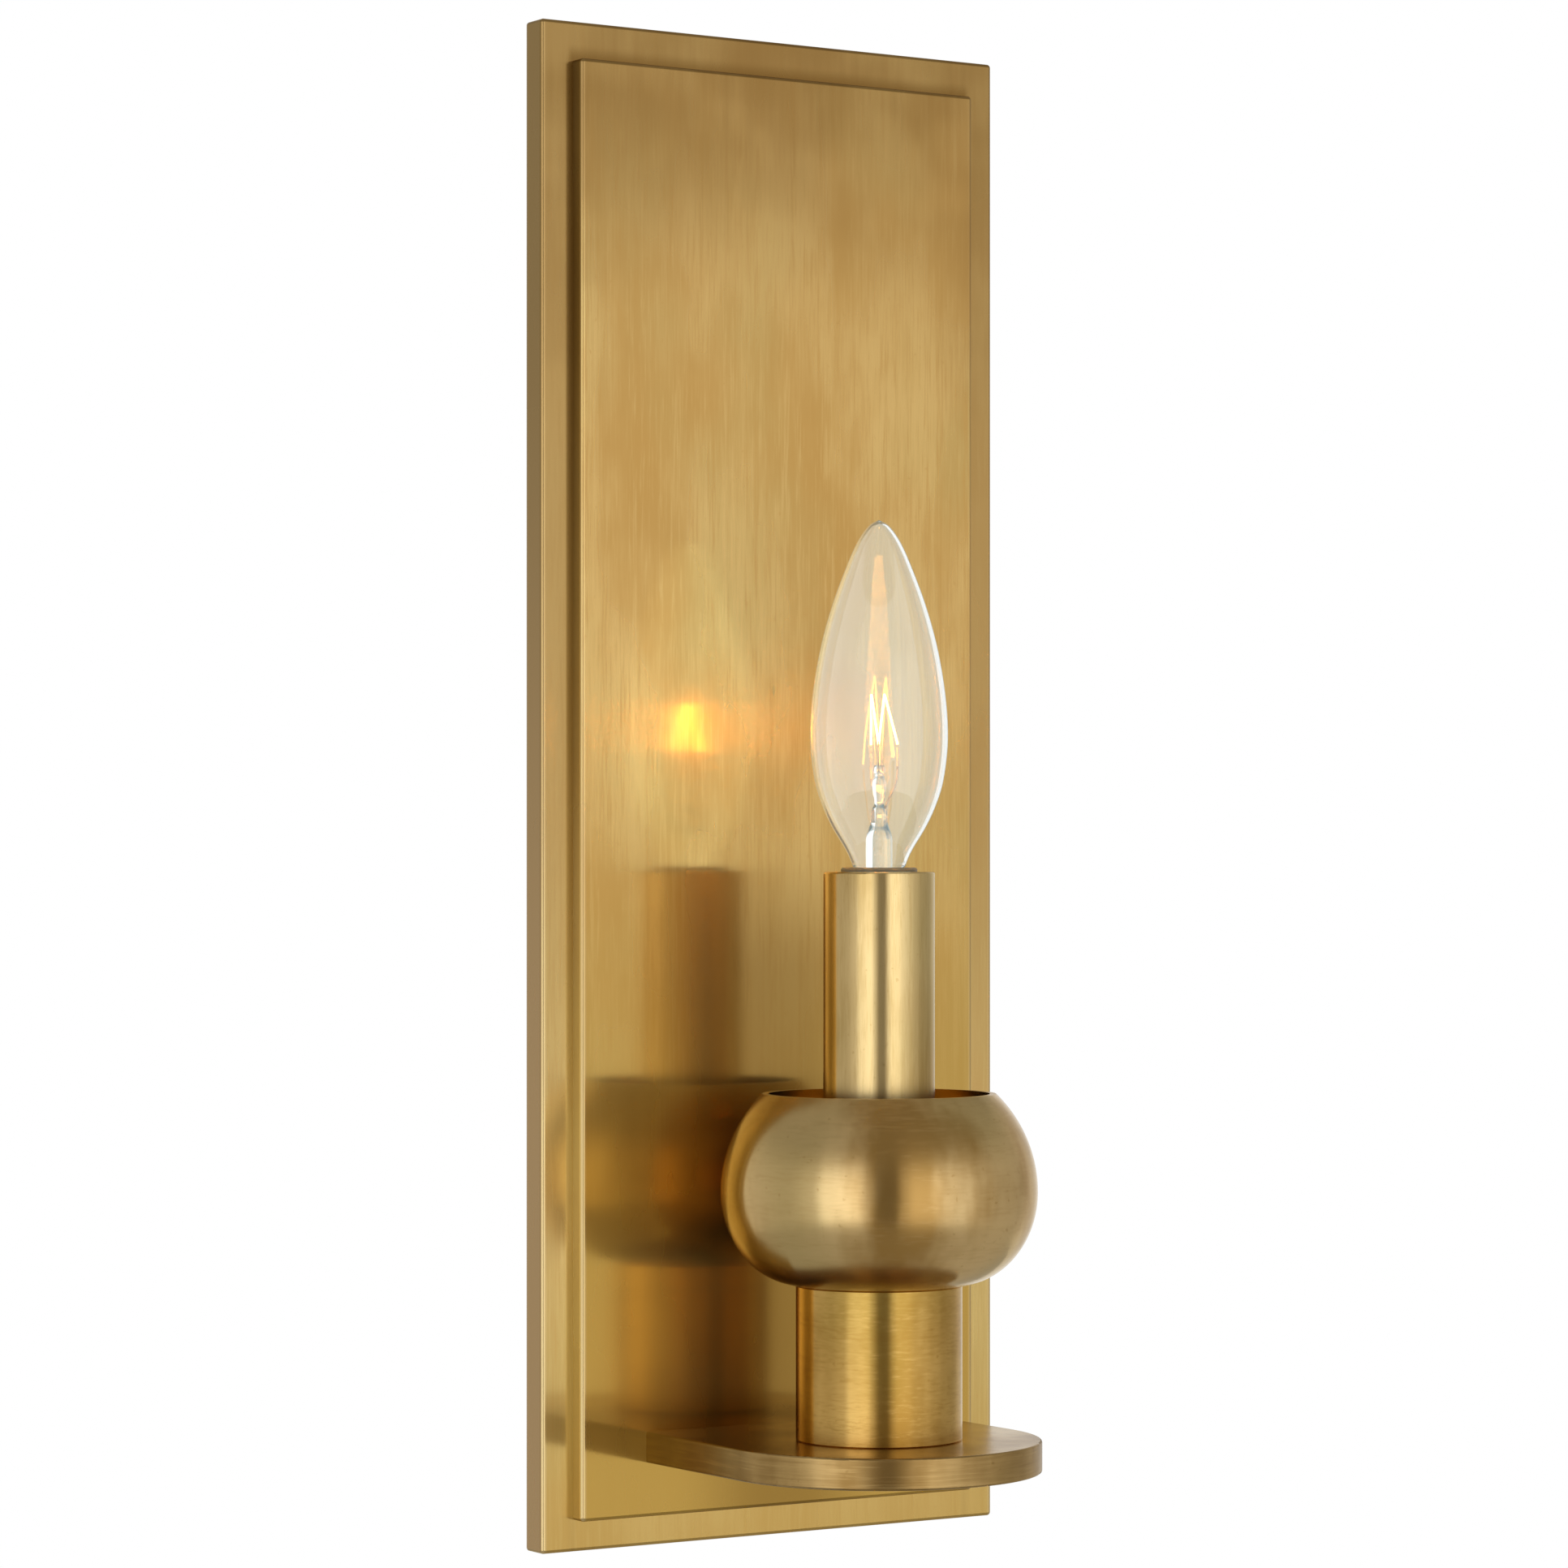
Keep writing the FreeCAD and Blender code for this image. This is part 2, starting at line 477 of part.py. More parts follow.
def ground_wire():
    """Earth wire from the lug up to the terminal block."""
    return tube_along([
        (GROUND_X, lug_barrel_y(), GROUND_Z + LUG_WIRE_END),
        (GROUND_X, lug_barrel_y(), GROUND_Z + 12.0),
        (POLE_PITCH, WIRE_BACK_Y, BLOCK_Z - 6.0),
        (POLE_PITCH, WIRE_BACK_Y, BLOCK_Z + 3.0),
    ], WIRE_R, GROUND_BEND_R)


# ---- shelf, collar and cup -------------------------------------------------------------------------------
def way_slot(z0, z1):
    """The slot beside the nipple that both leads drop through."""
    near, far = WAY_SLOT
    slot = box(-WAY_R, WAY_R, near + WAY_R, far - WAY_R, z0, z1)
    for y in (near + WAY_R, far - WAY_R):
        slot = slot.fuse(Part.makeCylinder(WAY_R, z1 - z0, V(0, y, z0)))
    return slot


def shelf():
    """Thick U-shaped shelf with straight sides and a round nose, drilled for the nipple, leads and screws."""
    back = AXIS_OUT + PANEL_FRONT  # from the candle axis back to the panel
    slab = disc(SHELF_R, SHELF_BOTTOM, SHELF_TOP).fuse(
        box(-SHELF_R, SHELF_R, 0, back, SHELF_BOTTOM, SHELF_TOP)).removeSplitter()
    at_ends = lambda z: min(abs(z - SHELF_TOP), abs(z - SHELF_BOTTOM)) < NEAR
    slab = slab.makeFillet(SHELF_EDGE_R, edges_where(slab, lambda x, y, z: at_ends(z) and y < back - NEAR))
    slab = slab.cut(disc(NIPPLE_HOLE_R, SHELF_BOTTOM - PAST, SHELF_TOP + PAST))
    slab = slab.cut(disc(SINK_R, SHELF_BOTTOM - PAST, SHELF_BOTTOM + SINK_DEPTH))
    slab = slab.cut(way_slot(WAY_FLOOR, SHELF_TOP + PAST))
    middle_of_slot = sum(WAY_SLOT) / 2
    slab = slab.cut(across(SHELF_WIRE_HOLE_R, 0, SHELF_MID, middle_of_slot, back + PAST))
    for x in (-SHELF_SCREW_X, SHELF_SCREW_X):
        hole_end = back - SHELF_SCREW_DEPTH - PAST
        slab = slab.cut(across(SHELF_SCREW_R + FIT, x, SHELF_MID, hole_end, back + PAST))
    return on_axis(slab)


def shelf_nut():
    """Hexagon nut on the foot of the nipple, sunk in the underside of the shelf."""
    top = SHELF_BOTTOM + SINK_DEPTH - WASHER_T
    return on_axis(hexagon(NUT_AF, top - SHELF_NUT_T, top, NIPPLE_R + FIT))


def shelf_washer():
    seat = SHELF_BOTTOM + SINK_DEPTH
    return on_axis(ring(WASHER_R, NIPPLE_HOLE_R, seat - WASHER_T, seat))


def collar():
    """Plain tube between the shelf and the cup."""
    tube = ring(COLLAR_R, COLLAR_R - COLLAR_WALL, SHELF_TOP, CUP_BOTTOM)
    return on_axis(tube.makeChamfer(COLLAR_BEVEL, round_edges(tube, COLLAR_R)))


def centring_disc(z0, with_way):
    """Disc that keeps the collar centred on the nipple."""
    plain = ring(COLLAR_R - COLLAR_WALL - FIT, NIPPLE_HOLE_R, z0, z0 + DISC_T)
    return on_axis(plain.cut(way_slot(z0 - PAST, z0 + DISC_T + PAST)) if with_way else plain)


def cup_profile(inset):
    """Edges from the cup's mouth down to its flat bottom, moved in by inset: a round arc, then part of an
    ellipse."""
    upper_r, upper_c = CUP_UPPER_R - inset, CUP_R - CUP_UPPER_R
    rise = CUP_RIM - CUP_EQUATOR
    half_angle = math.asin(rise / upper_r) / 2
    mouth = V(upper_c + math.sqrt(upper_r ** 2 - rise ** 2), 0, CUP_RIM)
    middle = V(upper_c + upper_r * math.cos(half_angle), 0, CUP_EQUATOR + upper_r * math.sin(half_angle))
    widest = V(CUP_R - inset, 0, CUP_EQUATOR)
    centre = V(CUP_R - CUP_LOWER_REACH, 0, CUP_EQUATOR)
    foot = centre - V(0, 0, CUP_LOWER_DROP - inset)
    lower = Part.ArcOfEllipse(Part.Ellipse(foot, widest, centre), 0, math.pi / 2)
    return mouth, [Part.Arc(mouth, middle, widest).toShape(), lower.toShape()], foot


def cup():
    """Spun globe, open at the top, with a flat bottom."""
    mouth_out, outer, foot_out = cup_profile(0)
    mouth_in, inner, foot_in = cup_profile(CUP_WALL)
    floor = straight_edges([
        (foot_out.x, foot_out.z), (NIPPLE_HOLE_R, foot_out.z), (NIPPLE_HOLE_R, foot_in.z),
        (foot_in.x, foot_in.z),
    ], closed=False)
    return on_axis(revolved(outer + inner + floor + [Part.LineSegment(mouth_in, mouth_out).toShape()]))


def sleeve_seat():
    """Turned seat on the floor of the cup: the candle sleeve stands on its flange, round its spigot."""
    floor, top = CUP_BOTTOM + CUP_WALL, SEAT_TOP + SEAT_SPIGOT_T
    seat = disc(SEAT_FLANGE_R, floor, SEAT_TOP).fuse(disc(SEAT_SPIGOT_R, SEAT_TOP, top))
    return on_axis(seat.cut(disc(NIPPLE_HOLE_R, floor - PAST, top + PAST)).removeSplitter())


def cup_nut():
    """Hexagon nut that clamps the seat, cup, collar and shelf together."""
    z0 = SEAT_TOP + SEAT_SPIGOT_T
    return on_axis(hexagon(NUT_AF, z0, z0 + CUP_NUT_T, NIPPLE_R + FIT))


def nipple():
    """Hollow threaded rod through the whole stack, with a slot in its side that lets the leads out."""
    tube = ring(NIPPLE_R, NIPPLE_BORE_R, NIPPLE_FOOT, NIPPLE_TOP)
    return on_axis(tube.cut(box(-WAY_R, WAY_R, 0, NIPPLE_R + PAST, *NIPPLE_SLOT)))


# ---- candle sleeve and lamp holder -----------------------------------------------------------------------
def candle_sleeve():
    """Brass tube with a closed top, pierced for the lamp holder. It lifts off its seat."""
    tube = ring(SLEEVE_R, SLEEVE_R - SLEEVE_WALL, SEAT_TOP, SLEEVE_TOP)
    lid = ring(SLEEVE_R, SOCKET_R + 2 * LOOSE, SLEEVE_TOP - SLEEVE_WALL, SLEEVE_TOP)
    sleeve = tube.fuse(lid).removeSplitter()
    rim = [e for e in round_edges(sleeve, SLEEVE_R) if abs(e.CenterOfMass.z - SLEEVE_TOP) < NEAR]
    return on_axis(sleeve.makeFillet(SLEEVE_EDGE_R, rim))


def socket_body():
    """Moulded body of the lamp holder."""
    body = disc(SOCKET_R, SOCKET_BOTTOM, SOCKET_TOP)
    body = body.makeChamfer(SOCKET_BEVEL, round_edges(body, SOCKET_R))
    body = body.cut(disc(SHELL_R + FIT, SOCKET_FLOOR + SHELL_RISE, SOCKET_TOP + PAST))
    body = body.cut(disc(SOCKET_WELL_R, SOCKET_FLOOR, SOCKET_FLOOR + SHELL_RISE + PAST))
    y = HICKEY_SCREW_OFF
    hole_end = SOCKET_BOTTOM + HICKEY_SCREW_IN + PAST
    body = body.cut(rod(HICKEY_SCREW_R + FIT, (0, y, SOCKET_BOTTOM - PAST), (0, y, hole_end)))
    for x in (-LEAD_X, LEAD_X):
        body = body.cut(rod(WIRE_R + LOOSE, (x, LEAD_OFF, SOCKET_BOTTOM - PAST),
                            (x, LEAD_OFF, SOCKET_BOTTOM + LEAD_IN + PAST)))
    return on_axis(body)


def socket_shell():
    """Brass screw shell pressed into the lamp holder."""
    return on_axis(ring(SHELL_R, SHELL_BORE_R, SOCKET_FLOOR + SHELL_RISE, SOCKET_TOP - SHELL_SUNK))


def socket_contact():
    """Bronze centre contact: a flat foot with a raised button under the lamp."""
    foot_top = SOCKET_FLOOR + CONTACT_FOOT_T
    button = Part.makeCone(*CONTACT_CONE, CONTACT_BOTTOM - 2 * FIT - foot_top, V(0, 0, foot_top))
    return on_axis(disc(CONTACT_FOOT_R, SOCKET_FLOOR, foot_top).fuse(button).removeSplitter())


def hickey():
    """Steel strap from the top of the nipple up to the lamp holder: hexagon foot, upright and bent tab."""
    lap = NIPPLE_TOP - HICKEY_LAP
    foot = hexagon(NUT_AF, NIPPLE_TOP - HICKEY_FOOT_T, NIPPLE_TOP, NIPPLE_R + FIT)
    upright = box(-HICKEY_X, HICKEY_X, HICKEY_NEAR, HICKEY_FAR, lap, SOCKET_BOTTOM)
    bridge = box(-HICKEY_X, HICKEY_X, HICKEY_BRIDGE_Y, HICKEY_FAR, lap, lap + HICKEY_BRIDGE_T)
    tab = box(-HICKEY_X, HICKEY_X, HICKEY_TAB_Y, HICKEY_FAR, SOCKET_BOTTOM - HICKEY_T, SOCKET_BOTTOM)
    whole = foot.fuse(upright).fuse(bridge).fuse(tab).removeSplitter()
    y = HICKEY_SCREW_OFF
    hole = rod(HICKEY_SCREW_R + FIT, (0, y, SOCKET_BOTTOM - HICKEY_T - PAST), (0, y, SOCKET_BOTTOM + PAST))
    return on_axis(whole.cut(hole))


def hickey_screw():
    """Pan-head screw from the strap up into the lamp holder."""
    screw = pan_screw(HICKEY_SCREW_R, HICKEY_T + HICKEY_SCREW_IN, HICKEY_HEAD_R, HICKEY_HEAD_T)
    return on_axis(pointed(screw, (0, HICKEY_SCREW_OFF, SOCKET_BOTTOM - HICKEY_T), (0, 0, 1)))


def lead(side, pole_x):
    """One insulated lead from the lamp holder down the nipple, through the shelf, up to the terminals."""
    x = side * WAY_X
    axis_y = -AXIS_OUT
    return tube_along([
        (side * LEAD_X, axis_y + LEAD_OFF, SOCKET_BOTTOM + LEAD_IN),
        (side * LEAD_X, axis_y + LEAD_OFF, SOCKET_BOTTOM - 9.0),
        (x, axis_y, NIPPLE_TOP + 3.0),
        (x, axis_y, WAY_Z),
        (x, axis_y + WAY_OFF, WAY_Z),
        (x, axis_y + WAY_OFF, SHELF_MID),
        (x, WIRE_BACK_Y, SHELF_MID),
        (x, WIRE_BACK_Y, BLOCK_Z - 22.0),
        (pole_x, WIRE_BACK_Y, BLOCK_Z - 8.0),
        (pole_x, WIRE_BACK_Y, BLOCK_Z + 3.0),
    ], WIRE_R, LEAD_BEND_R)


# ---- lamp ------------------------------------------------------------------------------------------------
def moved_in(points, inset):
    """Points of an outline that runs up to the axis, moved in by inset square to the outline."""
    tip = points[-1]
    before = points[:1] + points[:-1]
    after = points[1:] + [V(-points[-2].x, 0, points[-2].z)]
    moved = []
    for last, here, following in zip(before, points, after):
        along = following - last
        moved.append(here - V(along.z, 0, -along.x).normalize() * inset)
    return moved[:-1] + [tip - V(0, 0, inset)]


def bulb_glass():
    """Blown torpedo envelope with a pointed tip and its neck running down inside the cap."""
    outer = [V(r, 0, LAMP_JOIN + h) for h, r in LAMP_SHAPE]
    inner = moved_in(outer, GLASS_T)
    shoulder, neck_end = CAP_TOP + 2 * FIT, CAP_TOP - NECK_IN
    neck = straight_edges([
        (outer[0].x, outer[0].z), (NECK_R, shoulder), (NECK_R, neck_end), (NECK_R - GLASS_T, neck_end),
        (NECK_R - GLASS_T, shoulder), (inner[0].x, inner[0].z),
    ], closed=False)
    first_way, last_way = outer[1] - outer[0], V(-1, 0, 0)
    walls = [smooth_edge(outer, first_way, last_way), smooth_edge(inner, first_way, last_way)]
    return on_axis(revolved(walls + neck + [Part.LineSegment(outer[-1], inner[-1]).toShape()]))


def bulb_stem():
    """Glass mount: flared tube, pressed top that grips the wires, bead and the button with the hooks."""
    press = [V(r, 0, z) for r, z in STEM_PRESS]
    top = smooth_edge(press, V(0, 0, 1), V(-1, 0, 0))
    axis = Part.LineSegment(press[-1], V(0, 0, STEM_TUBE[0][1])).toShape()
    return on_axis(revolved(straight_edges(STEM_TUBE, closed=False) + [top, axis]))


def bulb_cap():
    """Rolled screw cap, with a rounded crest for each turn of its thread."""
    cap = revolved(straight_edges([
        (CAP_INSIDE_R, CAP_BOTTOM), (CAP_INSIDE_R, CAP_TOP), (CAP_LIP_R, CAP_TOP),
        (CAP_LIP_R, CAP_TOP - CAP_LIP_T), (CAP_ROOT_R, CAP_TOP - CAP_LIP_T - CAP_LIP_SLOPE),
        (CAP_ROOT_R, CAP_BOTTOM),
    ]))
    half = (THREAD_PITCH - THREAD_GAP) / 2
    buried = CAP_ROOT_R - (CAP_ROOT_R - CAP_INSIDE_R) / 2
    for turn in range(THREAD_TURNS):
        top = THREAD_START - THREAD_PITCH * turn
        high, low = V(CAP_ROOT_R, 0, top), V(CAP_ROOT_R, 0, top - 2 * half)
        crest = V(CAP_CREST_R, 0, top - half)
        inner = V(buried, 0, top - half)
        bulge = [Part.Arc(low, crest, high).toShape(),
                 Part.LineSegment(high, inner).toShape(), Part.LineSegment(inner, low).toShape()]
        cap = cap.fuse(revolved(bulge))
    return on_axis(cap.removeSplitter())


def bulb_insulator():
    """Black glass plug that closes the foot of the cap."""
    plug_r = CAP_INSIDE_R - FIT
    return on_axis(revolved(straight_edges([
        (0, CONTACT_TOP), (PLUG_FOOT_R, CONTACT_TOP), (CAP_ROOT_R - 2 * FIT, CAP_BOTTOM),
        (plug_r, CAP_BOTTOM),
        (plug_r, CAP_BOTTOM + PLUG_IN), (0, CAP_BOTTOM + PLUG_IN),
    ])))


def bulb_contact():
    """Solder button under the lamp."""
    height = CONTACT_TOP - CONTACT_BOTTOM
    return on_axis(Part.makeCone(CONTACT_FACE_R, CONTACT_R, height, V(0, 0, CONTACT_BOTTOM)))


def filament_points():
    """Corners of the zigzag filament: four legs that lean round the stem, from one foot to the other."""
    corners = []
    for k, angle in enumerate(FILAMENT_ANGLES):
        r, z = FILAMENT_TOP if k % 2 else FILAMENT_FOOT
        corners.append((r * math.cos(math.radians(angle)), r * math.sin(math.radians(angle)), z))
    return corners


def bulb_filament():
    """Coiled tungsten filament, drawn as one thin rod in a zigzag."""
    return on_axis(tube_along(filament_points(), FILAMENT_WIRE_R, FILAMENT_BEND_R))


def bulb_leads():
    """Two lead-in wires from the pressed stem up to the ends of the filament."""
    foot_r, foot_z = LEAD_IN_FOOT
    wires = []
    for x, y, z in (filament_points()[0], filament_points()[-1]):
        foot = V(x, y, 0).normalize() * foot_r
        route = [(foot.x, foot.y, foot_z), (foot.x, foot.y, LEAD_IN_PRESS_Z), (x, y, LEAD_IN_SPREAD_Z),
                 (x, y, z - LEAD_IN_SHORT)]
        wires.append(tube_along(route, LEAD_IN_R, LEAD_IN_BEND_R))
    return on_axis(Part.makeCompound(wires))


def bulb_supports():
    """Three fine hooks from the glass button that hold the corners of the filament."""
    foot_r, foot_z = HOOK_FOOT
    hooks = []
    for x, y, z in filament_points()[1:-1]:
        out = V(x, y, 0).normalize()
        start = out * foot_r
        if z < FILAMENT_TOP[1]:  # a foot of the zigzag, held from outside
            bend = out * (FILAMENT_FOOT[0] + HOOK_REACH)
            route = [(start.x, start.y, foot_z), (bend.x, bend.y, HOOK_LOW_Z),
                     (bend.x, bend.y, z + HOOK_RISE)]
        else:  # a top of the zigzag, held from below
            bend = out * (FILAMENT_TOP[0] / 2)
            route = [(start.x, start.y, foot_z), (bend.x, bend.y, HOOK_HIGH_Z), (x, y, z - HOOK_SHORT)]
        hooks.append(tube_along(route, HOOK_R, HOOK_BEND_R))
    return on_axis(Part.makeCompound(hooks))


PARTS = {
    "back_plate": lambda: face_of(plate_tray(), -PLATE_D),
    "plate_edges": lambda: edges_of(plate_tray(), PLATE_W / 2, -PLATE_D),
    "front_panel": lambda: face_of(panel_tray(), PANEL_FRONT),
    "panel_edges": lambda: edges_of(panel_tray(), PANEL_W / 2, PANEL_FRONT),
    "panel_studs": panel_studs,
    "panel_nuts": panel_nuts,
    "backing_plate": backing_plate,
    "shelf_screws": shelf_screws,
    "wall_bracket": wall_bracket,
    "lock_screws": lock_screws,
    "cable_bushing": cable_bushing,
    "terminal_block": terminal_block,
    "terminal_screws": terminal_screws,
    "block_screws": block_screws,
    "ground_screw": ground_screw,
    "ground_lug": ground_lug,
    "ground_wire": ground_wire,
    "shelf": shelf,
    "shelf_nut": shelf_nut,
    "shelf_washer": shelf_washer,
    "collar": collar,
    "collar_base_disc": lambda: centring_disc(SHELF_TOP, True),
    "collar_top_disc": lambda: centring_disc(CUP_BOTTOM - DISC_T, False),
    "cup": cup,
    "sleeve_seat": sleeve_seat,
    "cup_nut": cup_nut,
    "nipple": nipple,
    "candle_sleeve": candle_sleeve,
    "socket_body": socket_body,
    "socket_shell": socket_shell,
    "socket_contact": socket_contact,
    "hickey": hickey,
    "hickey_screw": hickey_screw,
    "line_lead": lambda: lead(-1, -POLE_PITCH),
    "neutral_lead": lambda: lead(1, 0),
    "bulb_glass": bulb_glass,
    "bulb_stem": bulb_stem,
    "bulb_cap": bulb_cap,
    "bulb_insulator": bulb_insulator,
    "bulb_contact": bulb_contact,
    "bulb_leads": bulb_leads,
    "bulb_supports": bulb_supports,
    "bulb_filament": bulb_filament,
}


def main():
    os.makedirs("parts", exist_ok=True)
    for name, build in PARTS.items():
        shape = build()
        shape.exportStep(os.path.join("parts", name + ".step"))
        print(f"{name:18s} solids {len(shape.Solids)}  valid {shape.isValid()}  {shape.Volume:9.1f} mm3")


main()
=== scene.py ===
import bpy
import bmesh
import math
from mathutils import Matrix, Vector


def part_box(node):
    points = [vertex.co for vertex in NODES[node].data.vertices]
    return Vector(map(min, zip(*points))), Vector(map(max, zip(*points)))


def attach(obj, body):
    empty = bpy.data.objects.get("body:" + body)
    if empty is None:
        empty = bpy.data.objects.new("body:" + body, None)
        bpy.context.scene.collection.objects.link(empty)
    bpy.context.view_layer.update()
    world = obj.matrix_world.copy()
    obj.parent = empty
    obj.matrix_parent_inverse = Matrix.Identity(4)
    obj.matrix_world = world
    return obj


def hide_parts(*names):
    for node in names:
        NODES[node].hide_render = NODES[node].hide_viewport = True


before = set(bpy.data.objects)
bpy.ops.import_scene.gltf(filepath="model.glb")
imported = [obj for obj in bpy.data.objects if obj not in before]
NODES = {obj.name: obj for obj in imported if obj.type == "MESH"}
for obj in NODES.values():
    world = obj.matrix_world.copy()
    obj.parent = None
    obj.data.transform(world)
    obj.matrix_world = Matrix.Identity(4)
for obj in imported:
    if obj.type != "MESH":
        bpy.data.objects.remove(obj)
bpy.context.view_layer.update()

# ---- camera and surroundings, in metres and degrees
CAMERA_AT = (-0.6393, -1.0084, -0.0156)
CAMERA_YAW = 32.68  # to the right of straight at the wall
CAMERA_LENS, CAMERA_SHIFT_Y = 114.5, 0.0444
FLOOR_Z, FLOOR_R = -0.47, 0.78
BACKDROP_R = 8.0
FLOOR_PAINT = (0.95, 0.95, 0.94, 1.0)

# ---- the object's own places, read from the CAD nodes
SLEEVE_LOW, SLEEVE_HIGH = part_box("candle_sleeve")
AXIS = Vector((0.0, (SLEEVE_LOW.y + SLEEVE_HIGH.y) / 2, 0.0))
PLATE_HALF_W, PLATE_HALF_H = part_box("back_plate")[1].x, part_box("back_plate")[1].z
PANEL_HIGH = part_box("front_panel")[1]
GLASS_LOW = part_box("bulb_glass")[0]

# ---- lamp glass: its outline as height above its lower end and radius in millimetres, its wall in metres
GLASS_OUTLINE = [
    (0.0, 4.9), (10.2, 4.9), (10.9, 6.0), (14.5, 7.6), (19.9, 10.8), (24.9, 13.1), (30.9, 14.9), (39.9, 15.9),
    (49.9, 15.4), (60.9, 13.6), (70.9, 10.9), (79.9, 7.6), (85.9, 4.9), (89.5, 2.3), (90.8, 0.0),
]
GLASS_WALL = 0.0006
GLASS_TURN, GLASS_STEPS = 128, 8  # faces round the glass, and rows between two points of its outline
GLASS_IOR = 1.60
GLASS_VEIL = (0.66, 0.98, 1.0, 1.0)  # colour of the lit lamp's own light in the glass
ENVELOPE_GLOW, STEM_GLOW = 0.042, 0.02

# ---- filament: five corners of a zigzag, as angle round the axis, radius and height, in degrees and metres
FILAMENT_CORNERS = [
    (82, 0.0043, 0.0096), (158, 0.0018, 0.0210), (235, 0.0043, 0.0096),
    (281, 0.0018, 0.0210), (327, 0.0043, 0.0096),
]
COIL_R, COIL_WIRE_R, COIL_PITCH, COIL_POINTS = 0.00024, 0.00006, 0.00020, 10
FILAMENT_HUE, FILAMENT_GLOW = (1.0, 0.42, 0.08, 1.0), 1700.0

# ---- light round the object: azimuth from straight out of the wall towards its right, brightness
SURROUND = [
    (-180, 0.95), (-158, 0.72), (-132, 0.52), (-104, 0.52), (-84, 0.68), (-73, 1.20), (-50, 1.38),
    (-41, 0.75), (-34, 0.26), (-22, 0.25), (-15, 0.92), (-8, 1.38), (6, 1.32), (18, 1.02), (32, 0.82),
    (48, 0.57), (66, 0.42), (90, 0.40), (112, 0.60), (150, 0.92), (180, 0.95),
]
OPEN_LEVEL = 0.34  # brightness above and below that ring
RING_FOOT, RING_TOP = (-0.96, -0.66), (0.18, 0.60)  # where the ring fades, as height over distance
WARM_WHITE, COOL_WHITE = (1.0, 0.94, 0.82, 1.0), (1.0, 0.99, 0.97, 1.0)  # tint of dim and bright light


# ---- node helpers
class Nodes:
    """Short calls for building one shader tree."""

    def __init__(self, tree):
        self.tree = tree

    def add(self, kind, **settings):
        node = self.tree.nodes.new(kind)
        for key, value in settings.items():
            setattr(node, key, value)
        return node

    def put(self, socket, value):
        """A link where the value is a socket, and a default where it is a number or colour."""
        if isinstance(value, bpy.types.NodeSocket):
            self.tree.links.new(value, socket)
        else:
            socket.default_value = value

    def math(self, operation, a, b=0.0):
        node = self.add("ShaderNodeMath", operation=operation)
        self.put(node.inputs[0], a)
        self.put(node.inputs[1], b)
        return node.outputs[0]

    def ramp(self, value, low, high, to_low=0.0, to_high=1.0):
        """Smooth step from to_low at low to to_high at high."""
        node = self.add("ShaderNodeMapRange", interpolation_type="SMOOTHSTEP")
        for socket, number in zip(node.inputs, (value, low, high, to_low, to_high)):
            self.put(socket, number)
        return node.outputs[0]

    def hill(self, value, low, top, high):
        """Smooth rise from 0 at low to 1 at top, and fall to 0 at high."""
        return self.math("MULTIPLY", self.ramp(value, low, top), self.ramp(value, top, high, 1.0, 0.0))

    def stops(self, value, places):
        """Eases through grey levels at places from 0 to 1."""
        node = self.add("ShaderNodeValToRGB")
        node.color_ramp.interpolation = "EASE"
        elements = node.color_ramp.elements
        while len(elements) < len(places):
            elements.new(0.5)
        for element, (place, level) in zip(elements, places):
            element.position = place
            element.color = (level, level, level, 1.0)
        self.put(node.inputs[0], value)
        return node.outputs[0]

    def mix(self, factor, a, b, blend="MIX"):
        node = self.add("ShaderNodeMix", data_type="RGBA", blend_type=blend)
        self.put(node.inputs[0], factor)
        self.put(node.inputs[6], a)
        self.put(node.inputs[7], b)
        return node.outputs[2]

    def noise(self, where, size, stretch=(1, 1, 1), detail=3.0, rough=0.5, seed=0.0):
        """Noise whose blotches are about size across in metres, times stretch along each axis."""
        scale = self.add("ShaderNodeMapping", vector_type="POINT")
        self.put(scale.inputs["Vector"], where)
        scale.inputs["Scale"].default_value = [1 / (size * s) for s in stretch]
        scale.inputs["Location"].default_value = (seed, seed * 1.7, seed * 0.6)
        node = self.add("ShaderNodeTexNoise", noise_dimensions="3D")
        self.put(node.inputs["Vector"], scale.outputs[0])
        node.inputs["Scale"].default_value = 1.0
        node.inputs["Detail"].default_value = detail
        node.inputs["Roughness"].default_value = rough
        return node.outputs["Fac"]

    def axes(self, vector):
        node = self.add("ShaderNodeSeparateXYZ")
        self.put(node.inputs[0], vector)
        return node.outputs


def material(name):
    made = bpy.data.materials.new(name)
    made.use_nodes = True
    made.node_tree.nodes.clear()
    n = Nodes(made.node_tree)
    out = n.add("ShaderNodeOutputMaterial")
    return made, n, out


def rgb(red, green, blue):
    """A colour from 0-255 display values."""
    def linear(c):
        c /= 255
        return c / 12.92 if c <= 0.04045 else ((c + 0.055) / 1.055) ** 2.4
    return (linear(red), linear(green), linear(blue), 1.0)


def wear(obj, made):
    obj.data.materials.clear()
    obj.data.materials.append(made)


# ---- aged brass
PLATE_TINTS = {"light": rgb(234, 204, 136), "dark": rgb(216, 179, 112), "olive": rgb(216, 194, 126)}
PANEL_TINTS = {"light": rgb(230, 194, 125), "dark": rgb(209, 166, 96), "olive": rgb(208, 181, 114)}
TUBE_TINTS = {"light": rgb(236, 208, 150), "dark": rgb(202, 171, 108), "olive": rgb(204, 188, 124)}
COLLAR_TINTS = {"light": rgb(228, 188, 112), "dark": rgb(180, 138, 64), "olive": rgb(188, 160, 80)}
CUP_TINTS = {"light": rgb(240, 209, 152), "dark": rgb(186, 148, 86), "olive": rgb(192, 173, 114)}
SHELF_TINTS = {"light": rgb(212, 180, 122), "dark": rgb(148, 116, 66), "olive": rgb(164, 146, 96)}
# brown of the dirt and painted shade along the step, and of the painted shade behind the candle
SHADE_AND_DIRT_BROWN = rgb(122, 88, 40)
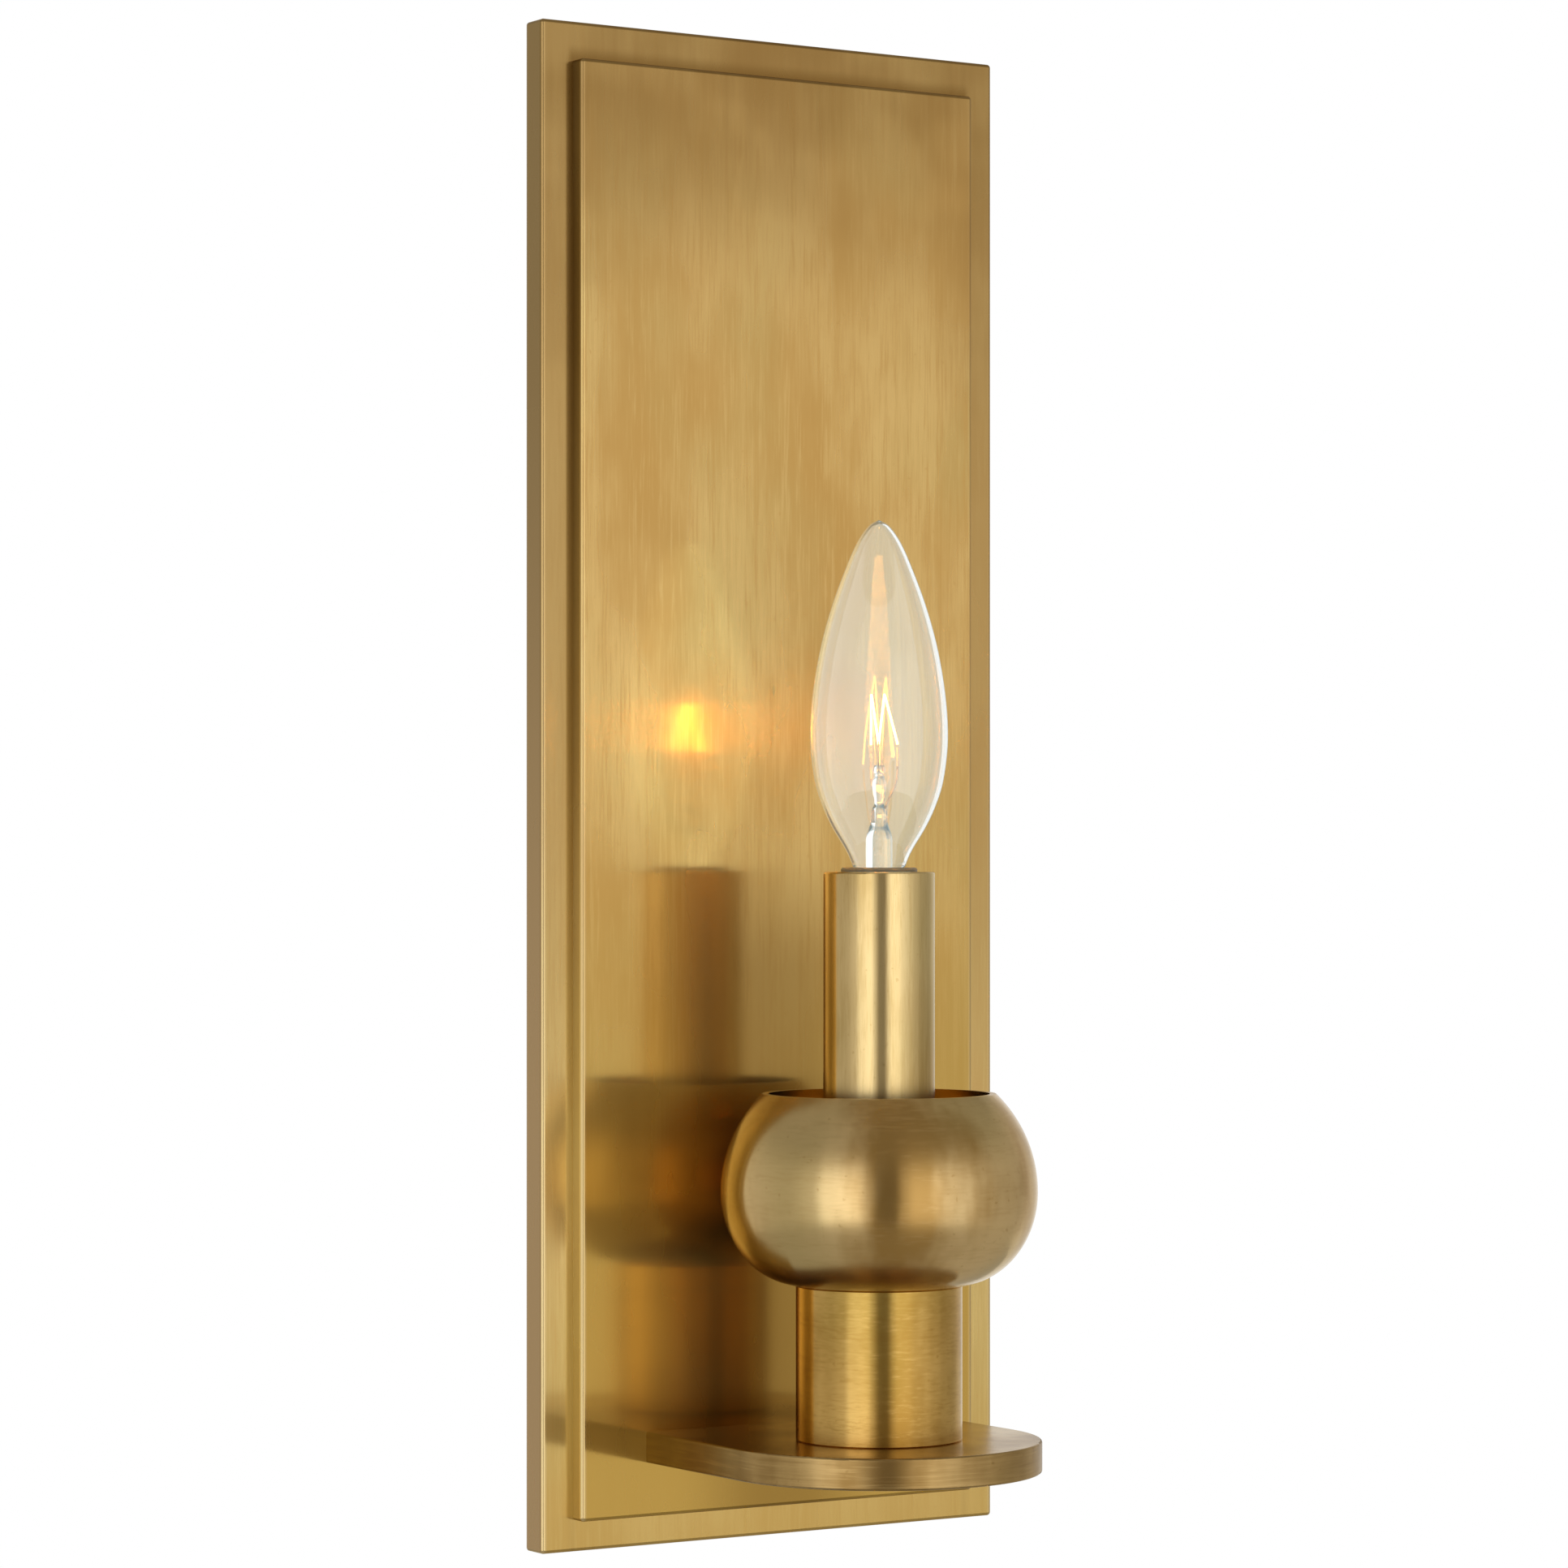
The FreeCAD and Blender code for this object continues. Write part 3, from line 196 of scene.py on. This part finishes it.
# painted shade: the upper parts of the plate and panel painted darker
PAINTED_TOP_SHADE = rgb(186, 150, 92)
# painted shade at the very top of the plate and panel
PAINTED_TOP_BROWN = rgb(150, 116, 66)
# painted golden light towards the foot of the plate and panel
PAINTED_FOOT_GOLD = rgb(197, 160, 80)
# pale wear and painted highlight along the upright front edges
PALE_WEAR_AND_HIGHLIGHT = rgb(255, 236, 190)
# painted reflections on the side faces of the plate and of the panel's step, low down and high up
OUTER_SIDE_REFLECTION = {"low": rgb(186, 156, 112), "high": rgb(154, 127, 78)}
STEP_SIDE_REFLECTION = {"low": rgb(255, 236, 176), "high": rgb(166, 146, 96)}
# painted light inside the cup
CUP_INSIDE_PAINTED_LIGHT = rgb(255, 222, 148)
PATCH_BROWN = rgb(134, 96, 44)
UP_FACE_TANGENT = (0.03, 0.0, 0.0)  # direction of the brushing on faces that look straight up or down
CLOUD_SIZE, TINT_SIZE, SPECK_SIZE = 0.024, 0.045, 0.0013
FINE_SIZE, COARSE_SIZE = 0.00050, 0.0017
BUMP_STRENGTH, BUMP_DEPTH = 0.05, 0.00012


def brass_marks(n, where, grain, seed):
    """Height of the fine marks left by brushing, from 0 to 1."""
    longer = [3 * g if g > 1 else 1 for g in grain]
    fine = n.noise(where, FINE_SIZE, grain, detail=3, rough=0.6, seed=seed + 8)
    coarse = n.noise(where, COARSE_SIZE, longer, detail=2, seed=seed + 12)
    return n.math("ADD", n.math("MULTIPLY", fine, 0.60), n.math("MULTIPLY", coarse, 0.40))


def brass_colour(n, where, tints, cloud, streak, mottle, marks, seed):
    """Light and dark clouds, olive tints, fine marks and dark specks."""
    tint = n.noise(where, TINT_SIZE, (1, 1, 1.6), detail=2, seed=seed + 4)
    speck = n.noise(where, SPECK_SIZE, detail=2, seed=seed + 16)
    spread = 0.24 / mottle
    colour = n.mix(n.ramp(cloud, 0.50 - spread, 0.50 + spread), tints["dark"], tints["light"])
    colour = n.mix(n.ramp(tint, 0.44, 0.66, 0.0, 0.55), colour, tints["olive"])
    colour = n.mix(n.ramp(streak, 0.34, 0.52, 0.42 * marks, 0.0), colour, tints["dark"])
    colour = n.mix(n.ramp(streak, 0.50, 0.66, 0.0, 0.36 * marks), colour, tints["light"])
    return n.mix(n.ramp(speck, 0.66, 0.76, 0.0, 0.45), colour, tints["dark"])


def brushing(n, normal):
    """The level direction along the surface."""
    level_line = n.add("ShaderNodeVectorMath", operation="CROSS_PRODUCT")
    level_line.inputs[0].default_value = (0, 0, 1)
    n.put(level_line.inputs[1], normal)
    nudged = n.add("ShaderNodeVectorMath", operation="ADD")
    nudged.inputs[0].default_value = UP_FACE_TANGENT
    n.put(nudged.inputs[1], level_line.outputs[0])
    return nudged.outputs[0]


def fine_bump(n, height):
    bump = n.add("ShaderNodeBump")
    bump.inputs["Strength"].default_value = BUMP_STRENGTH
    bump.inputs["Distance"].default_value = BUMP_DEPTH
    n.put(bump.inputs["Height"], height)
    return bump.outputs[0]


def laid_over(n, below, above, share):
    """Mix of two surfaces, or the upper one alone when there is none below."""
    if below is None:
        return above
    both = n.add("ShaderNodeMixShader")
    both.inputs[0].default_value = share
    n.put(both.inputs[1], below)
    n.put(both.inputs[2], above)
    return both.outputs[0]


def aged_brass(name, tints, lobes, grain=(1, 1, 24), turned=False, mottle=1.0, marks=1.0,
               shade=None, seed=0.0):
    """Antique brass. lobes is one or two (roughness, anisotropy, share over the one before);
    turned blurs its reflections up and down where a brushed sheet blurs them sideways; grain
    stretches the fine marks; mottle and marks set how strong the clouds and the marks are;
    shade(n, colour, where, normal) adds the piece's painted light and shade, and on the sheets their patina
    and wear."""
    made, n, out = material(name)
    where = n.add("ShaderNodeTexCoord").outputs["Object"]
    normal = n.add("ShaderNodeNewGeometry").outputs["Normal"]
    cloud = n.noise(where, CLOUD_SIZE, (1, 1, 2.6), detail=4, rough=0.52, seed=seed)
    streak = brass_marks(n, where, grain, seed)
    colour = brass_colour(n, where, tints, cloud, streak, mottle, marks, seed)
    if shade:
        colour = shade(n, colour, where, n.axes(normal))
    tangent = brushing(n, normal)
    bump = fine_bump(n, streak)
    surface = None
    for rough, anisotropy, share in lobes:
        shader = n.add("ShaderNodeBsdfPrincipled")
        n.put(shader.inputs["Base Color"], colour)
        shader.inputs["Metallic"].default_value = 1.0
        n.put(shader.inputs["Roughness"], n.ramp(cloud, 0.32, 0.68, rough * 1.12, rough * 0.90))
        shader.inputs["Anisotropic"].default_value = anisotropy
        shader.inputs["Anisotropic Rotation"].default_value = 0.25 if turned else 0.0
        n.put(shader.inputs["Tangent"], tangent)
        n.put(shader.inputs["Normal"], bump)
        surface = laid_over(n, surface, shader.outputs[0], share)
    n.put(out.inputs["Surface"], surface)
    return made


def top_patches(n, where, x, z, seed):
    """Strength of the brown patches at the top and along the upper edges."""
    broad = n.noise(where, 0.034, (1, 1, 0.8), detail=2, seed=seed)
    drawn = n.noise(where, 0.0030, (1, 1, 9), detail=3, seed=1.4 * seed)
    both = n.math("ADD", n.math("MULTIPLY", broad, 0.8), n.math("MULTIPLY", drawn, 0.2))
    at_top = n.ramp(z, 0.105, 0.175, 0.0, 0.44)
    at_edges = n.math("MULTIPLY", n.ramp(x, 0.035, 0.060), n.ramp(z, 0.04, 0.150, 0.0, 0.34))
    return n.math("MULTIPLY", n.ramp(both, 0.34, 0.62), n.math("MAXIMUM", at_top, at_edges))


def step_shade_and_dirt(n, x, z):
    """Strength of the dirt and painted shade along the step round the raised panel, more of it towards the
    top.
    """
    beside = n.hill(x, PANEL_HIGH.x - 0.0012, PANEL_HIGH.x, PANEL_HIGH.x + 0.0022)
    beside = n.math("MULTIPLY", beside, n.ramp(z, PANEL_HIGH.z, PANEL_HIGH.z + 0.0020, 1.0, 0.0))
    above = n.hill(z, PANEL_HIGH.z - 0.0012, PANEL_HIGH.z, PANEL_HIGH.z + 0.0040)
    above = n.math("MULTIPLY", above, n.ramp(x, PANEL_HIGH.x, PANEL_HIGH.x + 0.0020, 1.0, 0.0))
    return n.math("MULTIPLY", n.math("MAXIMUM", beside, above), n.ramp(z, -0.16, 0.15, 0.10, 0.70))


def candle_painted_shade(n, x, z):
    """Strength of the painted shade behind the candle: a painted dark reflection of the cup and sleeve on the
    panel.
    """
    return n.math("MULTIPLY", n.ramp(x, 0.004, 0.032, 0.5, 0.0), n.ramp(z, -0.045, -0.010, 1.0, 0.0))


def edge_wear_and_highlight(n, x, z, half_w, side):
    """Strength of the pale wear and painted highlight along the upright edges of the front."""
    edge = n.ramp(x, half_w - 0.0016, half_w - 0.0003)
    worn_and_lit = n.math("MULTIPLY", edge, n.ramp(z, -0.16, 0.12, 0.45, 0.06))
    return n.math("MULTIPLY", worn_and_lit, n.math("SUBTRACT", 1.0, side))


def sheet_shade(half_w, side_reflections, foot, top_shade_from, shade_and_dirt, seed):
    """Colour of a flat tray: painted shade from the given height upwards and at the very top, brown patina
    patches near the top, painted golden light below the height foot fading above it, brown dirt and painted
    shade by the given strength(n, x, z), painted reflections on its side faces, and pale wear with painted
    highlight along its upright edges."""
    def shade(n, colour, where, normal):
        place = n.axes(where)
        x, z = n.math("ABSOLUTE", place[0]), place[2]
        # painted shade over the upper part
        colour = n.mix(n.ramp(z, top_shade_from, top_shade_from + 0.14, 0.0, 0.75), colour, PAINTED_TOP_SHADE)
        # painted shade at the very top
        colour = n.mix(n.ramp(z, 0.11, PLATE_HALF_H, 0.0, 0.40), colour, PAINTED_TOP_BROWN)
        colour = n.mix(top_patches(n, where, x, z, seed), colour, PATCH_BROWN)
        # painted golden light towards the foot
        colour = n.mix(n.ramp(z, foot, foot + 0.15, 0.95, 0.0), colour, PAINTED_FOOT_GOLD)
        # brown dirt and painted shade
        colour = n.mix(shade_and_dirt(n, x, z), colour, SHADE_AND_DIRT_BROWN)
        # painted reflections on the side faces, lighter low down and darker high up
        side = n.ramp(n.math("ABSOLUTE", normal[0]), 0.80, 0.98)
        painted_side_reflection = n.mix(n.ramp(z, -0.08, 0.13), side_reflections["low"], side_reflections["high"])
        colour = n.mix(side, colour, painted_side_reflection)
        # pale wear and painted highlight on the upright edges
        return n.mix(edge_wear_and_highlight(n, x, z, half_w, side), colour, PALE_WEAR_AND_HIGHLIGHT)
    return shade


def cup_inside_painted_light(n, colour, where, normal):
    """Painted light: the inside of the cup is painted brighter and more golden than the outside."""
    place = n.axes(where)
    across = n.math("MULTIPLY", place[0], normal[0])
    deep = n.math("MULTIPLY", n.math("SUBTRACT", place[1], AXIS.y), normal[1])
    outward = n.math("ADD", across, deep)
    return n.mix(n.ramp(outward, -0.004, 0.0, 1.0, 0.0), colour, CUP_INSIDE_PAINTED_LIGHT)


def plain(name, colour, metallic=0.0, rough=0.4):
    """A simple speckled material."""
    made, n, out = material(name)
    shader = n.add("ShaderNodeBsdfPrincipled")
    where = n.add("ShaderNodeTexCoord").outputs["Object"]
    speckle = n.noise(where, 0.0012, detail=3)
    dark = tuple(c * 0.82 for c in colour[:3]) + (1.0,)
    n.put(shader.inputs["Base Color"], n.mix(n.ramp(speckle, 0.35, 0.65), dark, colour))
    n.put(shader.inputs["Roughness"], n.ramp(speckle, 0.3, 0.7, rough - 0.05, rough + 0.08))
    shader.inputs["Metallic"].default_value = metallic
    n.put(out.inputs["Surface"], shader.outputs[0])
    return made


def clear_glass(name, glow):
    """Clear glass, with the faint veil of the lit lamp's own light in it."""
    made, n, out = material(name)
    shader = n.add("ShaderNodeBsdfPrincipled")
    shader.inputs["Base Color"].default_value = (1.0, 1.0, 1.0, 1.0)
    shader.inputs["Roughness"].default_value = 0.0
    shader.inputs["IOR"].default_value = GLASS_IOR
    shader.inputs["Transmission Weight"].default_value = 1.0
    shader.inputs["Emission Color"].default_value = GLASS_VEIL
    shader.inputs["Emission Strength"].default_value = glow
    n.put(out.inputs["Surface"], shader.outputs[0])
    return made


def glowing(name, colour, strength):
    made, n, out = material(name)
    shader = n.add("ShaderNodeEmission")
    shader.inputs["Color"].default_value = colour
    shader.inputs["Strength"].default_value = strength
    n.put(out.inputs["Surface"], shader.outputs[0])
    return made


# ---- the lamp's own meshes
def smooth_line(points, steps):
    """Points of a smooth line through the given ones, steps to each gap."""
    ends = [2 * points[0] - points[1]] + points + [2 * points[-1] - points[-2]]
    line = []
    for a, b, c, d in zip(ends, ends[1:], ends[2:], ends[3:]):
        for k in range(steps):
            t = k / steps
            line.append(0.5 * ((2 * b) + (c - a) * t + (2 * a - 5 * b + 4 * c - d) * t ** 2
                               + (3 * b - a - 3 * c + d) * t ** 3))
    return line + [points[-1]]


def moved_in(line, wall):
    """The line moved towards the axis by wall, square to itself."""
    moved = []
    for before, here, after in zip(line[:1] + line[:-1], line, line[1:] + line[-1:]):
        along = after - before
        moved.append(here - Vector((along.y, -along.x)).normalized() * wall)
    moved[-1] = Vector((0.0, line[-1].y - wall))
    return moved


def lathe(name, outline, turn):
    """A closed solid of revolution about the candle axis from (radius, height) points that start
    and end on a circle; points on the axis become poles."""
    mesh = bmesh.new()
    rings = []
    for r, z in outline:
        if r < 1e-6:
            rings.append([mesh.verts.new((AXIS.x, AXIS.y, z))] * turn)
            continue
        ring = []
        for k in range(turn):
            a = 2 * math.pi * k / turn
            ring.append(mesh.verts.new((AXIS.x + r * math.cos(a), AXIS.y + r * math.sin(a), z)))
        rings.append(ring)
    for low, high in zip(rings, rings[1:] + rings[:1]):
        for k in range(turn):
            corners = dict.fromkeys((low[k], low[(k + 1) % turn], high[(k + 1) % turn], high[k]))
            if len(corners) > 2:
                mesh.faces.new(corners)
    bmesh.ops.recalc_face_normals(mesh, faces=mesh.faces)
    return finished(name, mesh)


def finished(name, mesh):
    for face in mesh.faces:
        face.smooth = True
    data = bpy.data.meshes.new(name)
    mesh.to_mesh(data)
    mesh.free()
    made = bpy.data.objects.new(name, data)
    bpy.context.scene.collection.objects.link(made)
    return made


def glass_envelope():
    """The blown torpedo, thin walled, with its neck down inside the cap."""
    low = GLASS_LOW.z
    points = [Vector((r / 1000, low + h / 1000)) for h, r in GLASS_OUTLINE]
    outer = points[:2] + smooth_line(points[2:], GLASS_STEPS)
    inner = moved_in(outer, GLASS_WALL)
    inner[0].y = outer[0].y
    return lathe("lamp_glass", outer + inner[::-1], GLASS_TURN)


def coil_line():
    """Evenly spaced points of the zigzag that the filament is coiled along."""
    corners = []
    for angle, r, z in FILAMENT_CORNERS:
        a = math.radians(angle)
        corners.append(AXIS + Vector((r * math.cos(a), r * math.sin(a), z)))
    line = []
    for a, b in zip(corners, corners[1:]):
        count = round((b - a).length / COIL_PITCH) * COIL_POINTS
        line += [a.lerp(b, k / count) for k in range(count)]
    return line + corners[-1:]


def filament_coil():
    """Fine tungsten wire wound into a helix along the zigzag."""
    data = bpy.data.curves.new("filament_coil", "CURVE")
    data.dimensions = "3D"
    data.bevel_depth = COIL_WIRE_R
    data.bevel_resolution = 1
    line = coil_line()
    wire = data.splines.new("POLY")
    wire.points.add(len(line) - 1)
    for k, (point, here) in enumerate(zip(wire.points, line)):
        along = (line[min(k + 1, len(line) - 1)] - line[max(k - 1, 0)]).normalized()
        side = along.cross(Vector((0, 1, 0))).normalized()
        turn = 2 * math.pi * k / COIL_POINTS
        around = side * math.cos(turn) + along.cross(side) * math.sin(turn)
        point.co = (*(here + around * COIL_R), 1.0)
    made = bpy.data.objects.new("filament_coil", data)
    bpy.context.scene.collection.objects.link(made)
    return made


# ---- surroundings
def surround_light():
    """Soft studio light all round: two tall strips either side of a dark gap, and a pale field behind."""
    world = bpy.data.worlds.new("studio")
    bpy.context.scene.world = world
    world.use_nodes = True
    world.node_tree.nodes.clear()
    n = Nodes(world.node_tree)
    x, y, z = n.axes(n.add("ShaderNodeTexCoord").outputs["Generated"])
    azimuth = n.math("ARCTAN2", x, n.math("MULTIPLY", y, -1.0))
    turn = n.math("ADD", n.math("DIVIDE", azimuth, 2 * math.pi), 0.5)
    brightest = max(level for _, level in SURROUND)
    ring = n.stops(turn, [(a / 360 + 0.5, level / brightest) for a, level in SURROUND])
    tall = n.math("MULTIPLY", n.ramp(z, *RING_FOOT), n.ramp(z, *RING_TOP, 1.0, 0.0))
    level = n.mix(tall, (OPEN_LEVEL / brightest,) * 3 + (1.0,), ring)
    tint = n.mix(n.ramp(level, 0.25, 0.75), WARM_WHITE, COOL_WHITE)
    background = n.add("ShaderNodeBackground")
    n.put(background.inputs["Color"], n.mix(1.0, tint, level, "MULTIPLY"))
    background.inputs["Strength"].default_value = brightest
    n.put(n.add("ShaderNodeOutputWorld").inputs["Surface"], background.outputs[0])


def backdrop():
    """White surroundings that only the camera and clear glass see."""
    bpy.ops.mesh.primitive_uv_sphere_add(segments=48, ring_count=24, radius=BACKDROP_R)
    dome = bpy.context.object
    dome.name = "backdrop"
    dome.visible_diffuse = False
    dome.visible_glossy = False
    dome.visible_shadow = False
    dome.data.materials.append(glowing("backdrop_white", (1, 1, 1, 1), 1.0))
    return dome


def pale_floor():
    bpy.ops.mesh.primitive_circle_add(
        vertices=96, radius=FLOOR_R, fill_type="NGON", location=(0, AXIS.y, FLOOR_Z)
    )
    floor = bpy.context.object
    floor.name = "floor"
    made, n, out = material("floor_paint")
    shader = n.add("ShaderNodeBsdfPrincipled")
    shader.inputs["Base Color"].default_value = FLOOR_PAINT
    shader.inputs["Roughness"].default_value = 0.7
    n.put(out.inputs["Surface"], shader.outputs[0])
    floor.data.materials.append(made)
    return floor


def camera():
    data = bpy.data.cameras.new("camera")
    data.lens = CAMERA_LENS
    data.sensor_width = 36.0
    data.shift_y = CAMERA_SHIFT_Y
    made = bpy.data.objects.new("camera", data)
    made.location = CAMERA_AT
    made.rotation_euler = (math.pi / 2, 0, math.radians(-CAMERA_YAW))
    bpy.context.scene.collection.objects.link(made)
    bpy.context.scene.camera = made


# ---- what each piece wears
SHEET_LOBES = [(0.118, 0.80, 1.0), (0.27, 1.0, 0.34)]
TURNED_LOBES = [(0.21, 0.8, 1.0)]
CUP_LOBES = [(0.20, 0.88, 1.0)]
SHELF_LOBES = [(0.24, 0.0, 1.0)]
DRAWN_GRAIN, ROUND_GRAIN, CUP_GRAIN, SHELF_GRAIN = (1, 1, 14), (6, 6, 1), (8, 8, 1), (24, 24, 1)


def sheet_brass():
    """The brushed back plate and the raised panel."""
    # the plate gets dirt and painted shade along the step, the panel painted shade behind the candle
    plate_shade = sheet_shade(PLATE_HALF_W, OUTER_SIDE_REFLECTION, foot=-0.24, top_shade_from=-0.12, shade_and_dirt=step_shade_and_dirt, seed=-12)
    panel_shade = sheet_shade(PANEL_HIGH.x, STEP_SIDE_REFLECTION, foot=-0.12, top_shade_from=0.07, shade_and_dirt=candle_painted_shade, seed=-6)
    plate = aged_brass("brass_plate", PLATE_TINTS, SHEET_LOBES, mottle=1.3, marks=1.6, shade=plate_shade)
    panel = aged_brass("brass_panel", PANEL_TINTS, SHEET_LOBES, mottle=1.5, marks=1.5, shade=panel_shade,
                       seed=2)
    return plate, panel


def round_brass():
    """The turned and drawn pieces of the stack."""
    tube = aged_brass("brass_tube", TUBE_TINTS, TURNED_LOBES, DRAWN_GRAIN, turned=True, mottle=1.8, seed=5)
    collar = aged_brass("brass_collar", COLLAR_TINTS, TURNED_LOBES, ROUND_GRAIN, turned=True, mottle=1.8,
                        seed=7)
    # painted light inside the cup
    cup = aged_brass("brass_cup", CUP_TINTS, CUP_LOBES, CUP_GRAIN, turned=True, mottle=2.0, marks=0.4,
                     shade=cup_inside_painted_light, seed=9)
    return tube, collar, cup


def dress_brass():
    plate, panel = sheet_brass()
    tube, collar, cup = round_brass()
    shelf = aged_brass("brass_shelf", SHELF_TINTS, SHELF_LOBES, SHELF_GRAIN, mottle=1.2, seed=13)
    for made, names in (
        (plate, ("back_plate", "plate_edges")),
        (panel, ("front_panel", "panel_edges")),
        (tube, ("candle_sleeve", "sleeve_seat", "lock_screws")),
        (collar, ("collar",)),
        (cup, ("cup",)),
        (shelf, ("shelf",)),
    ):
        for name in names:
            wear(NODES[name], made)


def dress_fittings():
    machined = plain("brass_machined", rgb(214, 176, 104), 1.0, 0.25)
    zinc = plain("zinc_plate", rgb(176, 178, 176), 1.0, 0.34)
    nylon = plain("nylon", rgb(226, 223, 208), 0.0, 0.5)
    wire = plain("lead_in_wire", rgb(190, 170, 145), 1.0, 0.3)
    for made, slot, names in (
        (machined, "plain_brass", (
            "panel_studs", "panel_nuts", "shelf_nut", "shelf_washer", "cup_nut", "nipple", "socket_shell",
            "socket_contact",
        )),
        (zinc, "zinc_steel", (
            "backing_plate", "shelf_screws", "wall_bracket", "terminal_screws", "block_screws", "ground_lug",
            "collar_base_disc", "collar_top_disc", "hickey", "hickey_screw",
        )),
        (plain("zinc_green", rgb(38, 120, 62), 0.7, 0.35), "green_steel", ("ground_screw",)),
        (nylon, "nylon", ("cable_bushing", "terminal_block")),
        (plain("grey_moulding", rgb(150, 138, 112), 0.0, 0.4), "dark_plastic", ("socket_body",)),
        (plain("pvc_green", rgb(36, 122, 58), 0.0, 0.4), "green_pvc", ("ground_wire",)),
        (plain("pvc_black", rgb(30, 30, 30), 0.0, 0.4), "black_pvc", ("line_lead",)),
        (plain("pvc_white", rgb(226, 226, 220), 0.0, 0.4), "white_pvc", ("neutral_lead",)),
        (clear_glass("stem_glass", STEM_GLOW), "clear_glass", ("bulb_stem",)),
        (plain("cap_brass", rgb(206, 178, 116), 1.0, 0.28), "cap_metal", ("bulb_cap",)),
        (plain("cap_glass", rgb(24, 22, 26), 0.0, 0.15), "black_glass", ("bulb_insulator",)),
        (plain("solder", rgb(176, 178, 178), 1.0, 0.3), "solder", ("bulb_contact",)),
        (wire, "lead_wire", ("bulb_leads", "bulb_supports")),
    ):
        for name in names:
            wear(NODES[name], made)


def add_lamp():
    """The lamp's glass and filament, finer than their CAD solids."""
    glass = glass_envelope()
    wear(glass, clear_glass("envelope_glass", ENVELOPE_GLOW))
    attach(glass, "bulb")
    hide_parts("bulb_glass")
    coil = filament_coil()
    wear(coil, glowing("hot_filament", FILAMENT_HUE, FILAMENT_GLOW))
    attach(coil, "bulb")
    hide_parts("bulb_filament")


dress_brass()
dress_fittings()
add_lamp()
surround_light()
backdrop()
pale_floor()
camera()
bpy.context.scene.view_settings.view_transform = "Standard"
bpy.context.scene.view_settings.look = "None"
